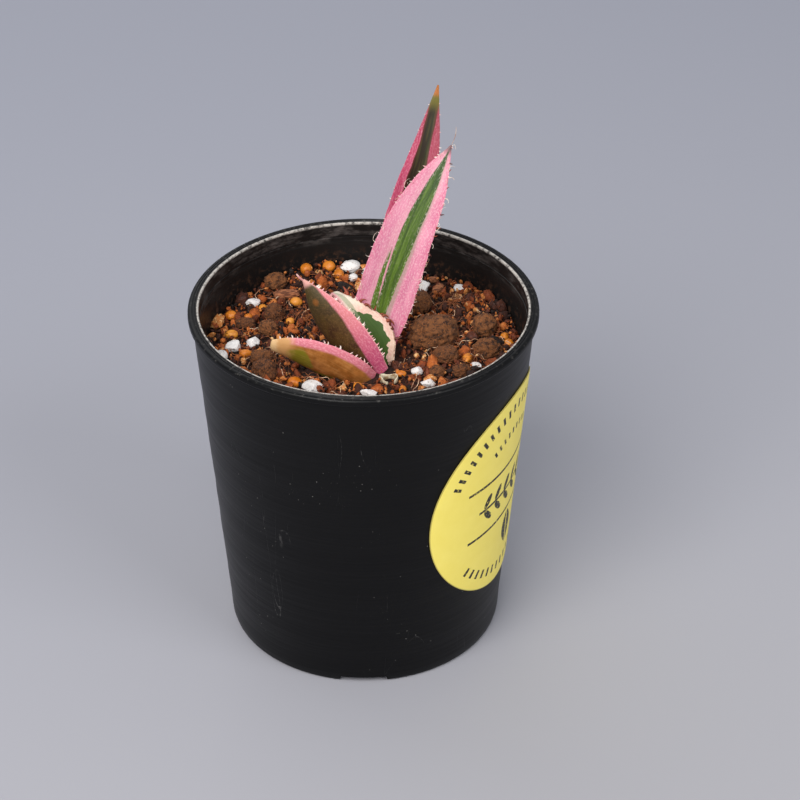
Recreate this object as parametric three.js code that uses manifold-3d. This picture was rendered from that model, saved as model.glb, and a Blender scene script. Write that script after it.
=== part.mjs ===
// A young variegated agave in a round plastic nursery pot, in millimetres, +Z up.
// The origin is the middle of the pot's base, on the surface that the pot stands on.
import * as THREE from "three";
import { mergeVertices } from "three/addons/utils/BufferGeometryUtils.js";
import Module from "manifold-3d";

const wasm = await Module();
wasm.setup();

// Clearance left between two pieces that touch.
const gap = 0.3;

// Pot
const potHeight = 95;
const lipRadius = 45;
const lipHeight = 1.8;
const lipOverhang = 1;
const lipRounding = 0.5;
const rimLand = 2.8;
const rimGroove = 0.25;
const collarDepth = 4.3;
const collarStep = 1.2;
const wallThickness = 1.7;
const floorThickness = 1.6;
const floorChamfer = 2;
const footRadius = 36.2;
const footRounding = 1.2;
const footFlat = 4;
const footHeight = 1.8;
const notchCount = 4;
const notchWidth = 12;
const notchSlope = 0.8;
const drainCount = 4;
const drainRadius = 4;
const drainCircle = 22;
const middleDrainRadius = 5;
const potSides = 48;

// Round label on the wall
const labelRadius = 30.8;
const labelThickness = 0.25;
const labelBearing = -21.5;
const labelBelowRim = 45;

// Soil
const soilBelowRim = 13;
const soilLump = 0.7;
const soilSides = potSides / 2;
// Height of a grain's middle over the soil, as a share of half its own height.
const grainStanding = 0.55;
// Heaps against the wall, placed by bearing and by a share of the soil's radius.
const soilHeaps = [
  { bearing: 28, share: 0.85, height: 2.2, spread: 8 },
  { bearing: 113, share: 0.9, height: 1.8, spread: 9 },
];

// Plant
const crownX = 2;
const crownY = -6.5;
const stemRadius = 7;
const stemDepth = 18;
const rootRadius = 1.1;
const rootEndRadius = 0.5;
const rootReach = 18;
const rootDrop = 42;
const rootCount = 5;
const rootSpread = 2;
const rootTop = 10;
const rootSway = 2.5;
const stemTop = 1.5;

const soilLevel = potHeight - soilBelowRim;
const floorTop = footHeight + floorThickness;
const lipBottom = potHeight - lipHeight;
const collarBottom = potHeight - collarDepth;
const innerWallTop = collarBottom - collarStep;

const toRadians = THREE.MathUtils.degToRad;

// Outer radius of the straight tapered wall at a height.
function wallRadius(height) {
  const share = height / lipBottom;
  return footRadius + (lipRadius - lipOverhang - footRadius) * share;
}

function innerRadius(height) {
  return wallRadius(height) - wallThickness;
}

// Smooth curve through evenly spaced values, read at a share from 0 to 1.
function along(values, share) {
  const place = Math.min(Math.max(share, 0), 1) * (values.length - 1);
  const first = Math.min(Math.floor(place), values.length - 2);
  const between = place - first;
  const last = values.length - 1;
  const before = first > 0 ? values[first - 1] : 2 * values[0] - values[1];
  const after = first < last - 1 ? values[first + 2] : 2 * values[last] - values[last - 1];
  return hermite(before, values[first], values[first + 1], after, between);
}

function hermite(before, start, end, after, between) {
  const startSlope = (end - before) / 2;
  const endSlope = (after - start) / 2;
  const cubic = 2 * start - 2 * end + startSlope + endSlope;
  const square = -3 * start + 3 * end - 2 * startSlope - endSlope;
  return cubic * between ** 3 + square * between ** 2 + startSlope * between + start;
}

// Closed manifold-3d solid of a geometry, turned the right way out.
function solid(geometry) {
  const bare = geometry.clone();
  bare.deleteAttribute("normal");
  bare.deleteAttribute("uv");
  const merged = mergeVertices(bare, 1e-3);
  const corners = merged.index.array;
  const triangles = [];
  for (let i = 0; i < corners.length; i += 3) {
    const [a, b, c] = corners.slice(i, i + 3);
    if (a !== b && b !== c && c !== a) triangles.push([a, b, c]);
  }
  const vertProperties = new Float32Array(merged.attributes.position.array);
  const build = (list) =>
    new wasm.Manifold(new wasm.Mesh({ numProp: 3, vertProperties, triVerts: new Uint32Array(list.flat()) }));
  const made = build(triangles);
  return made.volume() > 0 ? made : build(triangles.map(([a, b, c]) => [a, c, b]));
}

// The largest body of a solid, without the crumbs that a cut leaves.
function mainBody(cut) {
  return cut.decompose().reduce((best, body) => (body.volume() > best.volume() ? body : best));
}

// Closed skin over a row of rings with the same number of points, with a point at each end.
function skin(rings, startPoint, endPoint) {
  const sides = rings[0].length;
  const points = [startPoint, ...rings.flat(), endPoint];
  const end = points.length - 1;
  const index = [];
  for (let side = 0; side < sides; side++) {
    const next = (side + 1) % sides;
    index.push(0, 1 + side, 1 + next);
    for (let ring = 0; ring < rings.length - 1; ring++) {
      const low = 1 + ring * sides;
      const high = low + sides;
      index.push(low + side, high + side, high + next);
      index.push(low + side, high + next, low + next);
    }
    index.push(end, end - sides + next, end - sides + side);
  }
  return new THREE.BufferGeometry().setFromPoints(points).setIndex(index);
}

const plant = new THREE.Group();

function addPiece(name, body, colour, roughness) {
  const { vertProperties, triVerts } = body.getMesh();
  const geometry = new THREE.BufferGeometry();
  geometry.setAttribute("position", new THREE.BufferAttribute(vertProperties, 3));
  geometry.setIndex(new THREE.BufferAttribute(triVerts, 1));
  geometry.computeVertexNormals();
  const material = new THREE.MeshStandardMaterial({ color: colour, roughness, metalness: 0 });
  const mesh = new THREE.Mesh(geometry, material);
  mesh.name = name;
  plant.add(mesh);
}

// Solid of revolution from points of radius and height.
function turned(profile, sides) {
  const points = profile.map(([radius, height]) => new THREE.Vector2(radius, height));
  return solid(new THREE.LatheGeometry(points, sides).rotateX(Math.PI / 2));
}

// ---- Pot: tapered wall, rolled lip, grooved rim, collar, raised floor on a foot ring.
function makePot() {
  const footInner = footRadius - footRounding - footFlat;
  const outside = [];
  for (let step = 0; step <= 4; step++) {
    const turn = toRadians(-90 + 22.5 * step);
    const radius = footRadius - footRounding + footRounding * Math.cos(turn);
    const height = footRounding + footRounding * Math.sin(turn);
    outside.push([radius + (wallRadius(height) - footRadius), height]);
  }
  const collarRadius = lipRadius - rimLand;
  const profile = [
    [0, footHeight],
    [footInner, footHeight],
    [footInner, 0],
    ...outside,
    [lipRadius - lipOverhang, lipBottom],
    [lipRadius, lipBottom],
    [lipRadius, potHeight - lipRounding],
    [lipRadius - lipRounding, potHeight],
    [lipRadius - lipRounding * 2.2, potHeight],
    [lipRadius - rimLand * 0.6, potHeight - rimGroove],
    [collarRadius + lipRounding, potHeight],
    [collarRadius, potHeight - lipRounding],
    [collarRadius, collarBottom],
    [innerRadius(innerWallTop), innerWallTop],
    [innerRadius(floorTop + floorChamfer), floorTop + floorChamfer],
    [innerRadius(floorTop) - floorChamfer, floorTop],
    [0, floorTop],
  ];
  let pot = turned(profile, potSides);
  for (let notch = 0; notch < notchCount; notch++) {
    pot = pot.subtract(footNotch((360 * notch) / notchCount - 90));
  }
  const drain = (radius) => new THREE.CylinderGeometry(radius, radius, 4 * floorTop, 20).rotateX(Math.PI / 2);
  pot = pot.subtract(solid(drain(middleDrainRadius)));
  for (let hole = 0; hole < drainCount; hole++) {
    const bearing = toRadians((360 * (hole + 0.5)) / drainCount);
    const place = [drainCircle * Math.cos(bearing), drainCircle * Math.sin(bearing), 0];
    pot = pot.subtract(solid(drain(drainRadius).translate(...place)));
  }
  return mainBody(pot);
}

// Slot across the foot ring, with sloped ends, that lets water out from under the floor.
function footNotch(bearing) {
  const outline = new THREE.Shape();
  outline.moveTo(-notchWidth / 2 - notchSlope, -1);
  outline.lineTo(notchWidth / 2 + notchSlope, -1);
  outline.lineTo(notchWidth / 2, footHeight);
  outline.lineTo(-notchWidth / 2, footHeight);
  outline.closePath();
  const slot = new THREE.ExtrudeGeometry(outline, { depth: footRadius, bevelEnabled: false });
  slot.rotateX(Math.PI / 2);
  slot.rotateZ(Math.PI);
  slot.translate(0, footRadius / 2, 0);
  slot.rotateZ(toRadians(bearing - 90));
  return solid(slot);
}

// ---- Round label: a flat disc rolled round the tapered wall.
// On a wall that narrows downwards the ends of a level line on the flat disc come out a little higher.
function makeLabel() {
  const slope = Math.asin((lipRadius - lipOverhang - footRadius) / lipBottom);
  const middle = potHeight - labelBelowRim;
  const rise = Math.sin(slope) / (2 * wallRadius(middle));
  const wrap = (across, up, lift) => {
    const height = middle + (up + across ** 2 * rise) * Math.cos(slope);
    const bearing = toRadians(labelBearing) + across / wallRadius(height);
    const radius = wallRadius(height) + lift;
    return new THREE.Vector3(radius * Math.cos(bearing), radius * Math.sin(bearing), height);
  };
  const sides = 32;
  const steps = [0.25, 0.5, 0.75, 1];
  const ring = (share, lift) =>
    Array.from({ length: sides }, (_, side) => {
      const turn = (2 * Math.PI * side) / sides;
      return wrap(labelRadius * share * Math.cos(turn), labelRadius * share * Math.sin(turn), lift);
    });
  const back = steps.map((share) => ring(share, gap));
  const front = steps.map((share) => ring(share, gap + labelThickness)).reverse();
  return solid(skin([...back, ...front], wrap(0, 0, gap), wrap(0, 0, gap + labelThickness)));
}

// ---- Leaves: a channelled blade swept along a curved centreline that starts at the crown.
// line, width, thickness and cup (half the angle of the channel) are read evenly from base to tip.
const leaves = [
  {
    name: "leaf_tall_front",
    line: [[-1.2, 3.5, -2], [1.4, 6.4, 9], [5, 7.8, 21.5], [9.2, 9.4, 33.7], [14.4, 11.5, 44.6], [20, 14.5, 54.6]],
    facing: [[0.25, -1, 0.3], [0.05, -1, 0.25]],
    width: [9.5, 15.2, 16, 14.3, 10, 0.4],
    thickness: [3.4, 3.2, 2.8, 2.4, 1.8, 0.5],
    cup: [0.9, 0.75, 0.65, 0.6, 0.6, 0.5],
    colour: "#e298aa",
  },
  {
    name: "leaf_tall_back",
    line: [[1.4, 7, -3], [4.2, 10.5, 12], [7.2, 13.5, 25.5], [10.8, 17.5, 39], [14.1, 21, 52.5], [16.7, 24.5, 66.3]],
    facing: [[0.1, -1, 0.3], [-0.1, -1, 0.2]],
    width: [8.5, 11.6, 13, 11.7, 6.9, 0.4],
    thickness: [3.4, 3.2, 2.8, 2.4, 1.8, 0.5],
    cup: [0.9, 0.8, 0.75, 0.7, 0.7, 0.7],
    colour: "#c9607c",
  },
  {
    name: "leaf_short_cream",
    line: [[1.8, -1, -1.5], [1.1, 0.6, 6.9], [-3.4, 0.5, 12.8], [-6.9, 3.1, 16], [-9.4, 6.6, 16.1]],
    facing: [[0.45, -0.55, 0.65], [0.3, -0.3, 0.9]],
    width: [9, 12.3, 8.5, 4.6, 2.8],
    thickness: [3, 2.6, 2.2, 1.8, 1],
    cup: [0.9, 0.8, 0.6, 0.5, 0.4],
    colour: "#ddb8a2",
  },
  {
    name: "leaf_side_olive",
    line: [[-0.2, -3.1, -2.4], [-4.9, -3, 4.8], [-9.3, -1.5, 10.6], [-13.5, 0.5, 16.5], [-17.1, 3.5, 22]],
    facing: [[0.55, 0.8, 0.2], [0.4, 0.85, 0.3]],
    width: [11.5, 15.5, 15.5, 10.5, 0.8],
    thickness: [3.6, 3.4, 3, 2.2, 0.8],
    cup: [0.8, 0.6, 0.55, 0.5, 0.5],
    colour: "#4e3215",
  },
  {
    name: "leaf_stub_front",
    line: [[-2.6, -6.1, -2.8], [-7.2, -8.7, 1.8], [-13, -9.7, 6], [-19.4, -9, 8.5], [-24.6, -7.5, 9.2]],
    facing: [[0.3, 0.9, 0.3], [0.1, 0.9, 0.45]],
    width: [11, 14, 13.2, 10.2, 5],
    thickness: [3.6, 3.4, 3.2, 2.8, 2.2],
    cup: [0.7, 0.55, 0.5, 0.4, 0.3],
    colour: "#71510a",
  },
];

function centrePoint(leaf, share) {
  const [x, y, z] = [0, 1, 2].map((axis) => along(leaf.line.map((point) => point[axis]), share));
  return new THREE.Vector3(crownX + x, crownY + y, soilLevel + z);
}

// Centre, side direction, face direction and sizes of a leaf's cross-section.
function leafStation(leaf, share) {
  const step = 0.01;
  const centre = centrePoint(leaf, share);
  const direction = centrePoint(leaf, share + step).sub(centrePoint(leaf, share - step)).normalize();
  const [start, end] = leaf.facing.map((facing) => new THREE.Vector3(...facing));
  const face = start.lerp(end, share);
  face.addScaledVector(direction, -face.dot(direction)).normalize();
  return {
    centre,
    direction,
    face,
    side: new THREE.Vector3().crossVectors(direction, face),
    halfWidth: Math.max(along(leaf.width, share), 0.2) / 2,
    halfThickness: Math.max(along(leaf.thickness, share), 0.2) / 2,
    cup: along(leaf.cup, share),
  };
}

// Point of the blade: across runs from -1 to 1 between the margins, out is a height off its middle surface.
function bladePoint(station, across, out, grow) {
  const half = station.halfWidth + grow;
  const turn = station.cup * across;
  const bend = half / station.cup;
  const outward = station.face.clone().multiplyScalar(Math.cos(turn));
  outward.addScaledVector(station.side, -Math.sin(turn));
  return station.centre
    .clone()
    .addScaledVector(station.side, bend * Math.sin(turn))
    .addScaledVector(station.face, bend * (1 - Math.cos(turn)))
    .addScaledVector(outward, out);
}

function leafSolid(leaf, grow) {
  const stations = 13;
  const sides = 10;
  const rings = [];
  for (let step = 0; step < stations; step++) {
    const station = leafStation(leaf, step / (stations - 1));
    rings.push(
      Array.from({ length: sides }, (_, side) => {
        const turn = (2 * Math.PI * side) / sides;
        const out = (station.halfThickness + grow) * Math.sin(turn);
        return bladePoint(station, Math.cos(turn), out, grow);
      }),
    );
  }
  const base = leafStation(leaf, 0);
  const tip = leafStation(leaf, 1);
  const start = base.centre.clone().addScaledVector(base.direction, -0.5 - grow);
  const end = tip.centre.clone().addScaledVector(tip.direction, 0.4 * tip.halfWidth + grow);
  return solid(skin(rings, start, end));
}

// ---- Stem and roots: a short stub under the leaves, with roots that spread and drop.
function makeStem(grow) {
  const profile = [
    [0, 0],
    [0.5, -0.3],
    [0.85, -1.6],
    [1, -4],
    [0.9, -9],
    [0.6, -14],
    [0.3, -stemDepth],
    [0, -stemDepth - 0.5],
  ].map(([share, depth]) => [share === 0 ? 0 : stemRadius * share + grow, depth + (depth < -9 ? -grow : grow)]);
  let stem = turned(profile, 16).translate([crownX, crownY, soilLevel - stemTop]);
  for (let root = 0; root < rootCount; root++) {
    stem = stem.add(rootSolid(root, grow));
  }
  return stem;
}

function rootSolid(number, grow) {
  const bearing = toRadians((360 * number) / rootCount + 14 * (number % 2));
  const length = 0.7 + 0.3 * Math.cos(number * 2.1);
  const sides = 6;
  const rings = [];
  const steps = 7;
  const place = (share) => {
    const out = rootSpread + rootReach * length * Math.sqrt(share);
    const sway = rootSway * Math.sin(4 * share + number);
    const drop = rootTop + rootDrop * length * share ** 1.4;
    return new THREE.Vector3(
      crownX + out * Math.cos(bearing) - sway * Math.sin(bearing),
      crownY + out * Math.sin(bearing) + sway * Math.cos(bearing),
      soilLevel - drop,
    );
  };
  for (let step = 0; step < steps; step++) {
    const share = 0.05 + (0.95 * step) / (steps - 1);
    const middle = place(share);
    const direction = place(share + 0.01).sub(middle).normalize();
    const sideways = new THREE.Vector3(-Math.sin(bearing), Math.cos(bearing), 0);
    const upward = new THREE.Vector3().crossVectors(direction, sideways).normalize();
    const radius = THREE.MathUtils.lerp(rootRadius, rootEndRadius, share) + grow;
    rings.push(
      Array.from({ length: sides }, (_, side) => {
        const turn = (2 * Math.PI * side) / sides;
        return middle
          .clone()
          .addScaledVector(sideways, radius * Math.cos(turn))
          .addScaledVector(upward, radius * Math.sin(turn));
      }),
    );
  }
  const endPoint = place(1).add(place(1).sub(place(0.99)).setLength(rootEndRadius + grow));
  return solid(skin(rings, place(0.03), endPoint));
}

// ---- Soil and the loose grains on it.
const soilRadius = innerRadius(soilLevel) - gap;

function soilHeight(x, y) {
  const broad = Math.sin(x / 9 + 0.6) * Math.cos(y / 11 - 0.4);
  const fine = Math.sin(x / 3.7 + y / 5.1) * Math.cos(y / 4.3 - 1.1);
  const heaped = soilHeaps.reduce((sum, heap) => sum + heapHeight(heap, x, y), 0);
  return soilLevel + soilLump * (0.7 * broad + 0.5 * fine) + heaped;
}

function heapHeight({ bearing, share, height, spread }, x, y) {
  const away = Math.hypot(
    x - soilRadius * share * Math.cos(toRadians(bearing)),
    y - soilRadius * share * Math.sin(toRadians(bearing)),
  );
  return height * Math.exp((-0.5 * away ** 2) / spread ** 2);
}

function makeSoilBlock() {
  const ringAt = (radius, height) =>
    Array.from({ length: soilSides }, (_, side) => {
      const turn = (2 * Math.PI * side) / soilSides;
      const x = radius * Math.cos(turn);
      const y = radius * Math.sin(turn);
      return new THREE.Vector3(x, y, height ?? soilHeight(x, y));
    });
  const surface = [0.2, 0.4, 0.6, 0.8, 1].map((share) => ringAt(soilRadius * share));
  const shoulder = soilLevel - 3;
  const low = floorTop + floorChamfer;
  const wall = [
    ringAt(innerRadius(shoulder) - gap, shoulder),
    ringAt(innerRadius(low) - gap, low),
    ringAt(innerRadius(floorTop) - floorChamfer - gap, floorTop + gap),
  ];
  const top = new THREE.Vector3(0, 0, soilHeight(0, 0));
  const bottom = new THREE.Vector3(0, 0, floorTop + gap);
  return solid(skin([...surface, ...wall], top, bottom));
}

// Each row: bearing, distance from the axis as a share of the soil's radius, length, breadth, turn.
const grainKinds = [
  {
    name: "perlite_chip",
    colour: "#dcd6d2",
    roughness: 0.9,
    lump: 0.14,
    flat: 0.8,
    rows: [
      [145, 0.87, 4.4, 3.2, 15],
      [178, 0.71, 4.2, 3.8, 70],
      [183, 0.81, 4.4, 3.8, 40],
      [188, 0.9, 4, 3.4, 100],
      [97, 0.93, 5.6, 3.8, 30],
      [90, 0.91, 4.8, 3, 80],
      [97, 0.82, 3, 2.6, 0],
      [62, 0.86, 5.6, 3.6, 110],
      [48, 0.91, 2.8, 2.6, 0],
      [237, 0.58, 5.7, 4.2, 10],
      [274, 0.55, 4.2, 2.8, 0],
      [312, 0.6, 4.2, 3.6, 30],
      [320, 0.44, 3.4, 2.4, 10],
      [340, 0.73, 2.8, 2.4, 0],
      [356, 0.9, 2.4, 2, 0],
    ],
  },
  {
    name: "dried_husk",
    colour: "#cfc6b2",
    roughness: 0.8,
    lump: 0.06,
    flat: 0.8,
    rows: [[293, 0.3, 5, 3.6, -10]],
  },
  {
    name: "fertilizer_pellet",
    colour: "#ce8731",
    roughness: 0.45,
    lump: 0.04,
    flat: 0.92,
    rows: [
      [158, 0.92, 3.3, 2.9, 0],
      [171, 0.85, 3.4, 2.6, 0],
      [188, 0.75, 3.4, 2.6, 0],
      [115, 0.92, 3.3, 3.2, 0],
      [105, 0.93, 3.5, 3.3, 0],
      [101, 0.85, 3.3, 3, 80],
      [146, 0.78, 2.8, 2.2, 90],
      [156, 0.82, 2.6, 2.3, 0],
      [148, 0.59, 2.4, 2.1, 0],
      [132, 0.66, 3.3, 2.8, 0],
      [230, 0.49, 3.6, 3.2, 0],
      [268, 0.42, 2.8, 2.4, 90],
      [306, 0.4, 2.7, 1.9, 0],
      [297, 0.54, 2.6, 2, 90],
      [8, 0.88, 3, 2.2, 90],
      [3, 0.91, 2.8, 2.6, 0],
      [347, 0.64, 3.8, 2.6, 80],
    ],
  },
  {
    name: "soil_clump",
    colour: "#58331d",
    roughness: 0.95,
    lump: 0.14,
    flat: 0.75,
    rows: [
      [130, 0.9, 6.8, 5.6, 10],
      [148, 0.67, 6, 5.2, 0],
      [164, 0.63, 5.1, 4.6, 0],
      [162, 0.8, 5.4, 3.6, 0],
      [197, 0.66, 6.6, 4.8, 0],
      [214, 0.6, 7.6, 6.6, 60],
      [53, 0.58, 9, 6.6, 60],
      [3, 0.4, 12.5, 10, 20],
      [345, 0.56, 6.6, 5, 0],
      [12, 0.79, 7, 6.6, 0],
      [354, 0.78, 7.4, 6, 0],
      [333, 0.69, 5.6, 3.8, 20],
      [325, 0.56, 4.6, 3.6, 0],
    ],
  },
  {
    name: "bark_chip",
    colour: "#a8653f",
    roughness: 0.9,
    lump: 0.08,
    flat: 0.9,
    rows: [
      [131, 0.78, 7, 2.6, 5],
      [62, 0.93, 3.4, 1.8, 20],
      [56, 0.84, 4.4, 2.4, 60],
    ],
  },
];

function listGrains() {
  return grainKinds.flatMap((kind) =>
    kind.rows.map(([bearing, share, length, breadth, turn], number) => ({
      ...kind,
      name: `${kind.name}_${String(number + 1).padStart(2, "0")}`,
      x: soilRadius * share * Math.cos(toRadians(bearing)),
      y: soilRadius * share * Math.sin(toRadians(bearing)),
      half: [length / 2, breadth / 2, (breadth / 2) * kind.flat],
      turn: toRadians(turn),
      seed: number * 1.7 + kind.lump * 40,
    })),
  );
}

// Circles in plan where the leaves pass low over the soil or into it.
function leafFootprint() {
  const circles = [];
  for (const leaf of leaves) {
    for (let step = 0; step <= 40; step++) {
      const station = leafStation(leaf, step / 40);
      for (let across = -1; across <= 1; across += 0.2) {
        const point = bladePoint(station, across, 0, 0);
        const low = point.z > soilLevel - 4 && point.z < soilLevel + 6;
        if (low) circles.push({ x: point.x, y: point.y, radius: station.halfThickness });
      }
    }
  }
  circles.push({ x: crownX, y: crownY, radius: stemRadius * 0.8 });
  return circles;
}

// Reach of a grain's outline in plan along a direction, with the clearance.
function reachToward(grain, dx, dy) {
  const along = dx * Math.cos(grain.turn) + dy * Math.sin(grain.turn);
  const across = dy * Math.cos(grain.turn) - dx * Math.sin(grain.turn);
  const reach = Math.hypot(grain.half[0] * along, grain.half[1] * across) / (Math.hypot(dx, dy) || 1);
  return reach * (1 + grain.lump) + gap;
}

// Pushes the grains off each other, off the leaves and in from the wall.
function settleGrains(grains) {
  const footprint = leafFootprint();
  for (let round = 0; round < 400; round++) {
    for (const grain of grains) {
      for (const circle of footprint) pushApart(grain, circle, () => circle.radius, 1);
      for (const other of grains) {
        if (other !== grain) pushApart(grain, other, (dx, dy) => reachToward(other, dx, dy) - gap / 2, 0.5);
      }
      const limit = soilRadius - reachToward(grain, grain.x, grain.y);
      const away = Math.hypot(grain.x, grain.y);
      if (away > limit) {
        grain.x *= limit / away;
        grain.y *= limit / away;
      }
    }
  }
  return grains;
}

function pushApart(grain, obstacle, obstacleReach, share) {
  const dx = grain.x - obstacle.x;
  const dy = grain.y - obstacle.y;
  const apart = Math.hypot(dx, dy) || 0.01;
  const short = reachToward(grain, dx, dy) + obstacleReach(dx, dy) - apart;
  if (short <= 0) return;
  grain.x += (dx / apart) * short * share;
  grain.y += (dy / apart) * short * share;
}

// Lumpy ellipsoid that sits in the soil with its lower part.
function grainSolid(grain) {
  const geometry = new THREE.IcosahedronGeometry(1, 1);
  const position = geometry.attributes.position;
  const point = new THREE.Vector3();
  for (let i = 0; i < position.count; i++) {
    point.fromBufferAttribute(position, i);
    const wave = Math.sin(2.3 * point.x + grain.seed) + Math.sin(2.9 * point.y - grain.seed * 1.3);
    const scale = 1 + grain.lump * 0.5 * (wave + Math.sin(3.1 * point.z + grain.seed * 0.7)) * 0.67;
    point.multiplyScalar(scale);
    point.multiply(new THREE.Vector3(...grain.half));
    position.setXYZ(i, point.x, point.y, point.z);
  }
  geometry.rotateZ(grain.turn);
  geometry.translate(grain.x, grain.y, grainHeight(grain));
  return solid(geometry);
}

function grainHeight(grain) {
  return soilHeight(grain.x, grain.y) + grain.half[2] * grainStanding;
}

// Dish in the soil that a grain sits in, open at the top, a clearance wider than the grain.
function pocketSolid(grain) {
  const sides = 8;
  const corner = 1 / Math.cos(Math.PI / sides);
  const [length, breadth, depth] = grain.half.map((half) => half * (1 + grain.lump) + gap);
  const ring = (share, height) =>
    Array.from({ length: sides }, (_, side) => {
      const turn = (2 * Math.PI * side) / sides;
      const x = length * share * corner * Math.cos(turn);
      const y = breadth * share * corner * Math.sin(turn);
      return new THREE.Vector3(x, y, height);
    });
  const rings = [ring(0.75, -depth), ring(1, 0), ring(1, depth * 2)];
  const dish = skin(rings, new THREE.Vector3(0, 0, -depth), new THREE.Vector3(0, 0, depth * 2));
  dish.rotateZ(grain.turn);
  dish.translate(grain.x, grain.y, grainHeight(grain));
  return solid(dish);
}

// ---- Assembly
addPiece("pot", makePot(), "#1c1c1e", 0.45);
addPiece("round_label", makeLabel(), "#e2d377", 0.6);

const grownStem = makeStem(gap);
addPiece("stem_with_roots", makeStem(0), "#b59a6a", 0.8);

// Each leaf is trimmed round the stem and round the leaves that sit further in.
const innerPieces = [grownStem];
for (const leaf of leaves) {
  const blade = innerPieces.reduce((rest, inner) => rest.subtract(inner), leafSolid(leaf, 0));
  addPiece(leaf.name, mainBody(blade), leaf.colour, 0.5);
  innerPieces.push(leafSolid(leaf, gap));
}

const grains = settleGrains(listGrains());
let soil = makeSoilBlock();
for (const inner of innerPieces) soil = soil.subtract(inner);
for (const grain of grains) {
  addPiece(grain.name, grainSolid(grain), grain.colour, grain.roughness);
  soil = soil.subtract(pocketSolid(grain));
}
addPiece("soil", mainBody(soil), "#76492b", 0.95);

export default plant;
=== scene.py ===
# %% [markdown]
# # A young agave in a nursery pot
# This notebook dresses a packed CAD model of a potted agave. The CAD model gives every place and size.
# Blender gives the fine surface: five variegated leaves with toothed margins, a moulded black pot, a round
# paper label and a gritty soil made of thousands of crumbs. The plan is to load the frame, set up the
# camera and the light, write a few small helpers, and then make one real piece after another.

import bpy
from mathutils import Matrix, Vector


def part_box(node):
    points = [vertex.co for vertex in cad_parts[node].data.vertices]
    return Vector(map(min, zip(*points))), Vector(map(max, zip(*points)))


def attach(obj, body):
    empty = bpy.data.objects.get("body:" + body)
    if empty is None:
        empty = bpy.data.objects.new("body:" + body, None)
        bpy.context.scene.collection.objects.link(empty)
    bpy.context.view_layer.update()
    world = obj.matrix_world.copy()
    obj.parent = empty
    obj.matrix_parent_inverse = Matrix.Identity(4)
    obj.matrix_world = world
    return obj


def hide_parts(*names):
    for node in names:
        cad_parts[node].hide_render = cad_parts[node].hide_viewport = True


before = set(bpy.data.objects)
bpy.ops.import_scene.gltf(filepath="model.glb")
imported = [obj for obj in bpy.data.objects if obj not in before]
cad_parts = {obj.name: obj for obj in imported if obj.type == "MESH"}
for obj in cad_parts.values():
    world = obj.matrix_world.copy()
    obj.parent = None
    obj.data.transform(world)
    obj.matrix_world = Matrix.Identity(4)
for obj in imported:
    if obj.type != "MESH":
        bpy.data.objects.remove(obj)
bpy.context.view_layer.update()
print("CAD nodes:", len(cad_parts))

# %% Modules and units
import math

import bmesh
import bpy
import numpy as np
from mathutils import Matrix, Vector, noise

MM = 0.001
pot_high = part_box("pot")[1]
RIM_RADIUS = pot_high.x / MM
RIM_HEIGHT = pot_high.z / MM
print(f"rim radius {RIM_RADIUS:.1f} mm, rim height {RIM_HEIGHT:.1f} mm")

# %% [markdown]
# ## Camera, floor and light
# The object is seen from the front and from above, through a long lens, so lines hardly converge. A long
# lens could be copied by an orthographic camera, but the rim would then lose the little perspective that
# it has. The light is a studio tent: one broad soft light from the front left, a weaker one from the front
# right, a strip behind and an even, faintly blue surround.

# %% Camera
CAMERA_PLACE = Vector((9.4, -568.4, 441.6)) * MM
CAMERA_TILT = math.radians(33.48)
CAMERA_ROLL = math.radians(0.19)

camera = bpy.data.objects.new("camera", bpy.data.cameras.new("camera"))
bpy.context.scene.collection.objects.link(camera)
camera.data.lens = 117
camera.data.sensor_width = 36
tilted = Matrix.Rotation(math.pi / 2 - CAMERA_TILT, 4, "X") @ Matrix.Rotation(CAMERA_ROLL, 4, "Z")
camera.matrix_world = Matrix.Translation(CAMERA_PLACE) @ tilted
bpy.context.scene.camera = camera
bpy.context.scene.view_settings.view_transform = "Standard"
print("camera looks down by", round(math.degrees(CAMERA_TILT), 1), "degrees")


# %% Lights
def soft_light(name, place, target, width, height, power, colour=(1, 1, 1)):
    """Adds a rectangular softbox that faces its target."""
    light = bpy.data.lights.new(name, "AREA")
    light.shape = "RECTANGLE"
    light.size = width
    light.size_y = height
    light.energy = power
    light.color = colour
    holder = bpy.data.objects.new(name, light)
    holder.location = place
    facing = (Vector(target) - Vector(place)).to_track_quat("-Z", "Y")
    holder.rotation_euler = facing.to_euler()
    bpy.context.scene.collection.objects.link(holder)
    return holder


middle = (0, 0, 0.08)
soft_light("key", (-0.42, -0.85, 1.0), middle, 0.9, 0.9, 18.5, (1.0, 0.98, 0.96))
soft_light("fill", (0.95, -0.75, 0.85), middle, 0.8, 0.8, 8.0, (0.98, 0.99, 1.0))
soft_light("back", (-0.5, 0.8, 0.9), middle, 1.2, 0.5, 3.0)

world = bpy.data.worlds.new("studio")
bpy.context.scene.world = world
world.use_nodes = True
world.node_tree.nodes["Background"].inputs["Color"].default_value = (0.80, 0.83, 0.90, 1)
world.node_tree.nodes["Background"].inputs["Strength"].default_value = 0.48

# %% [markdown]
# ## Helpers for node trees
# Shaders and Geometry Nodes are both trees of nodes. Long chains of Math nodes are hard to read, so one
# small class wraps a socket and turns Python's own operators into nodes: `1 - mask` adds one Subtract
# node. Every other node is added by one method that takes its type, its settings and its inputs.


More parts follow.
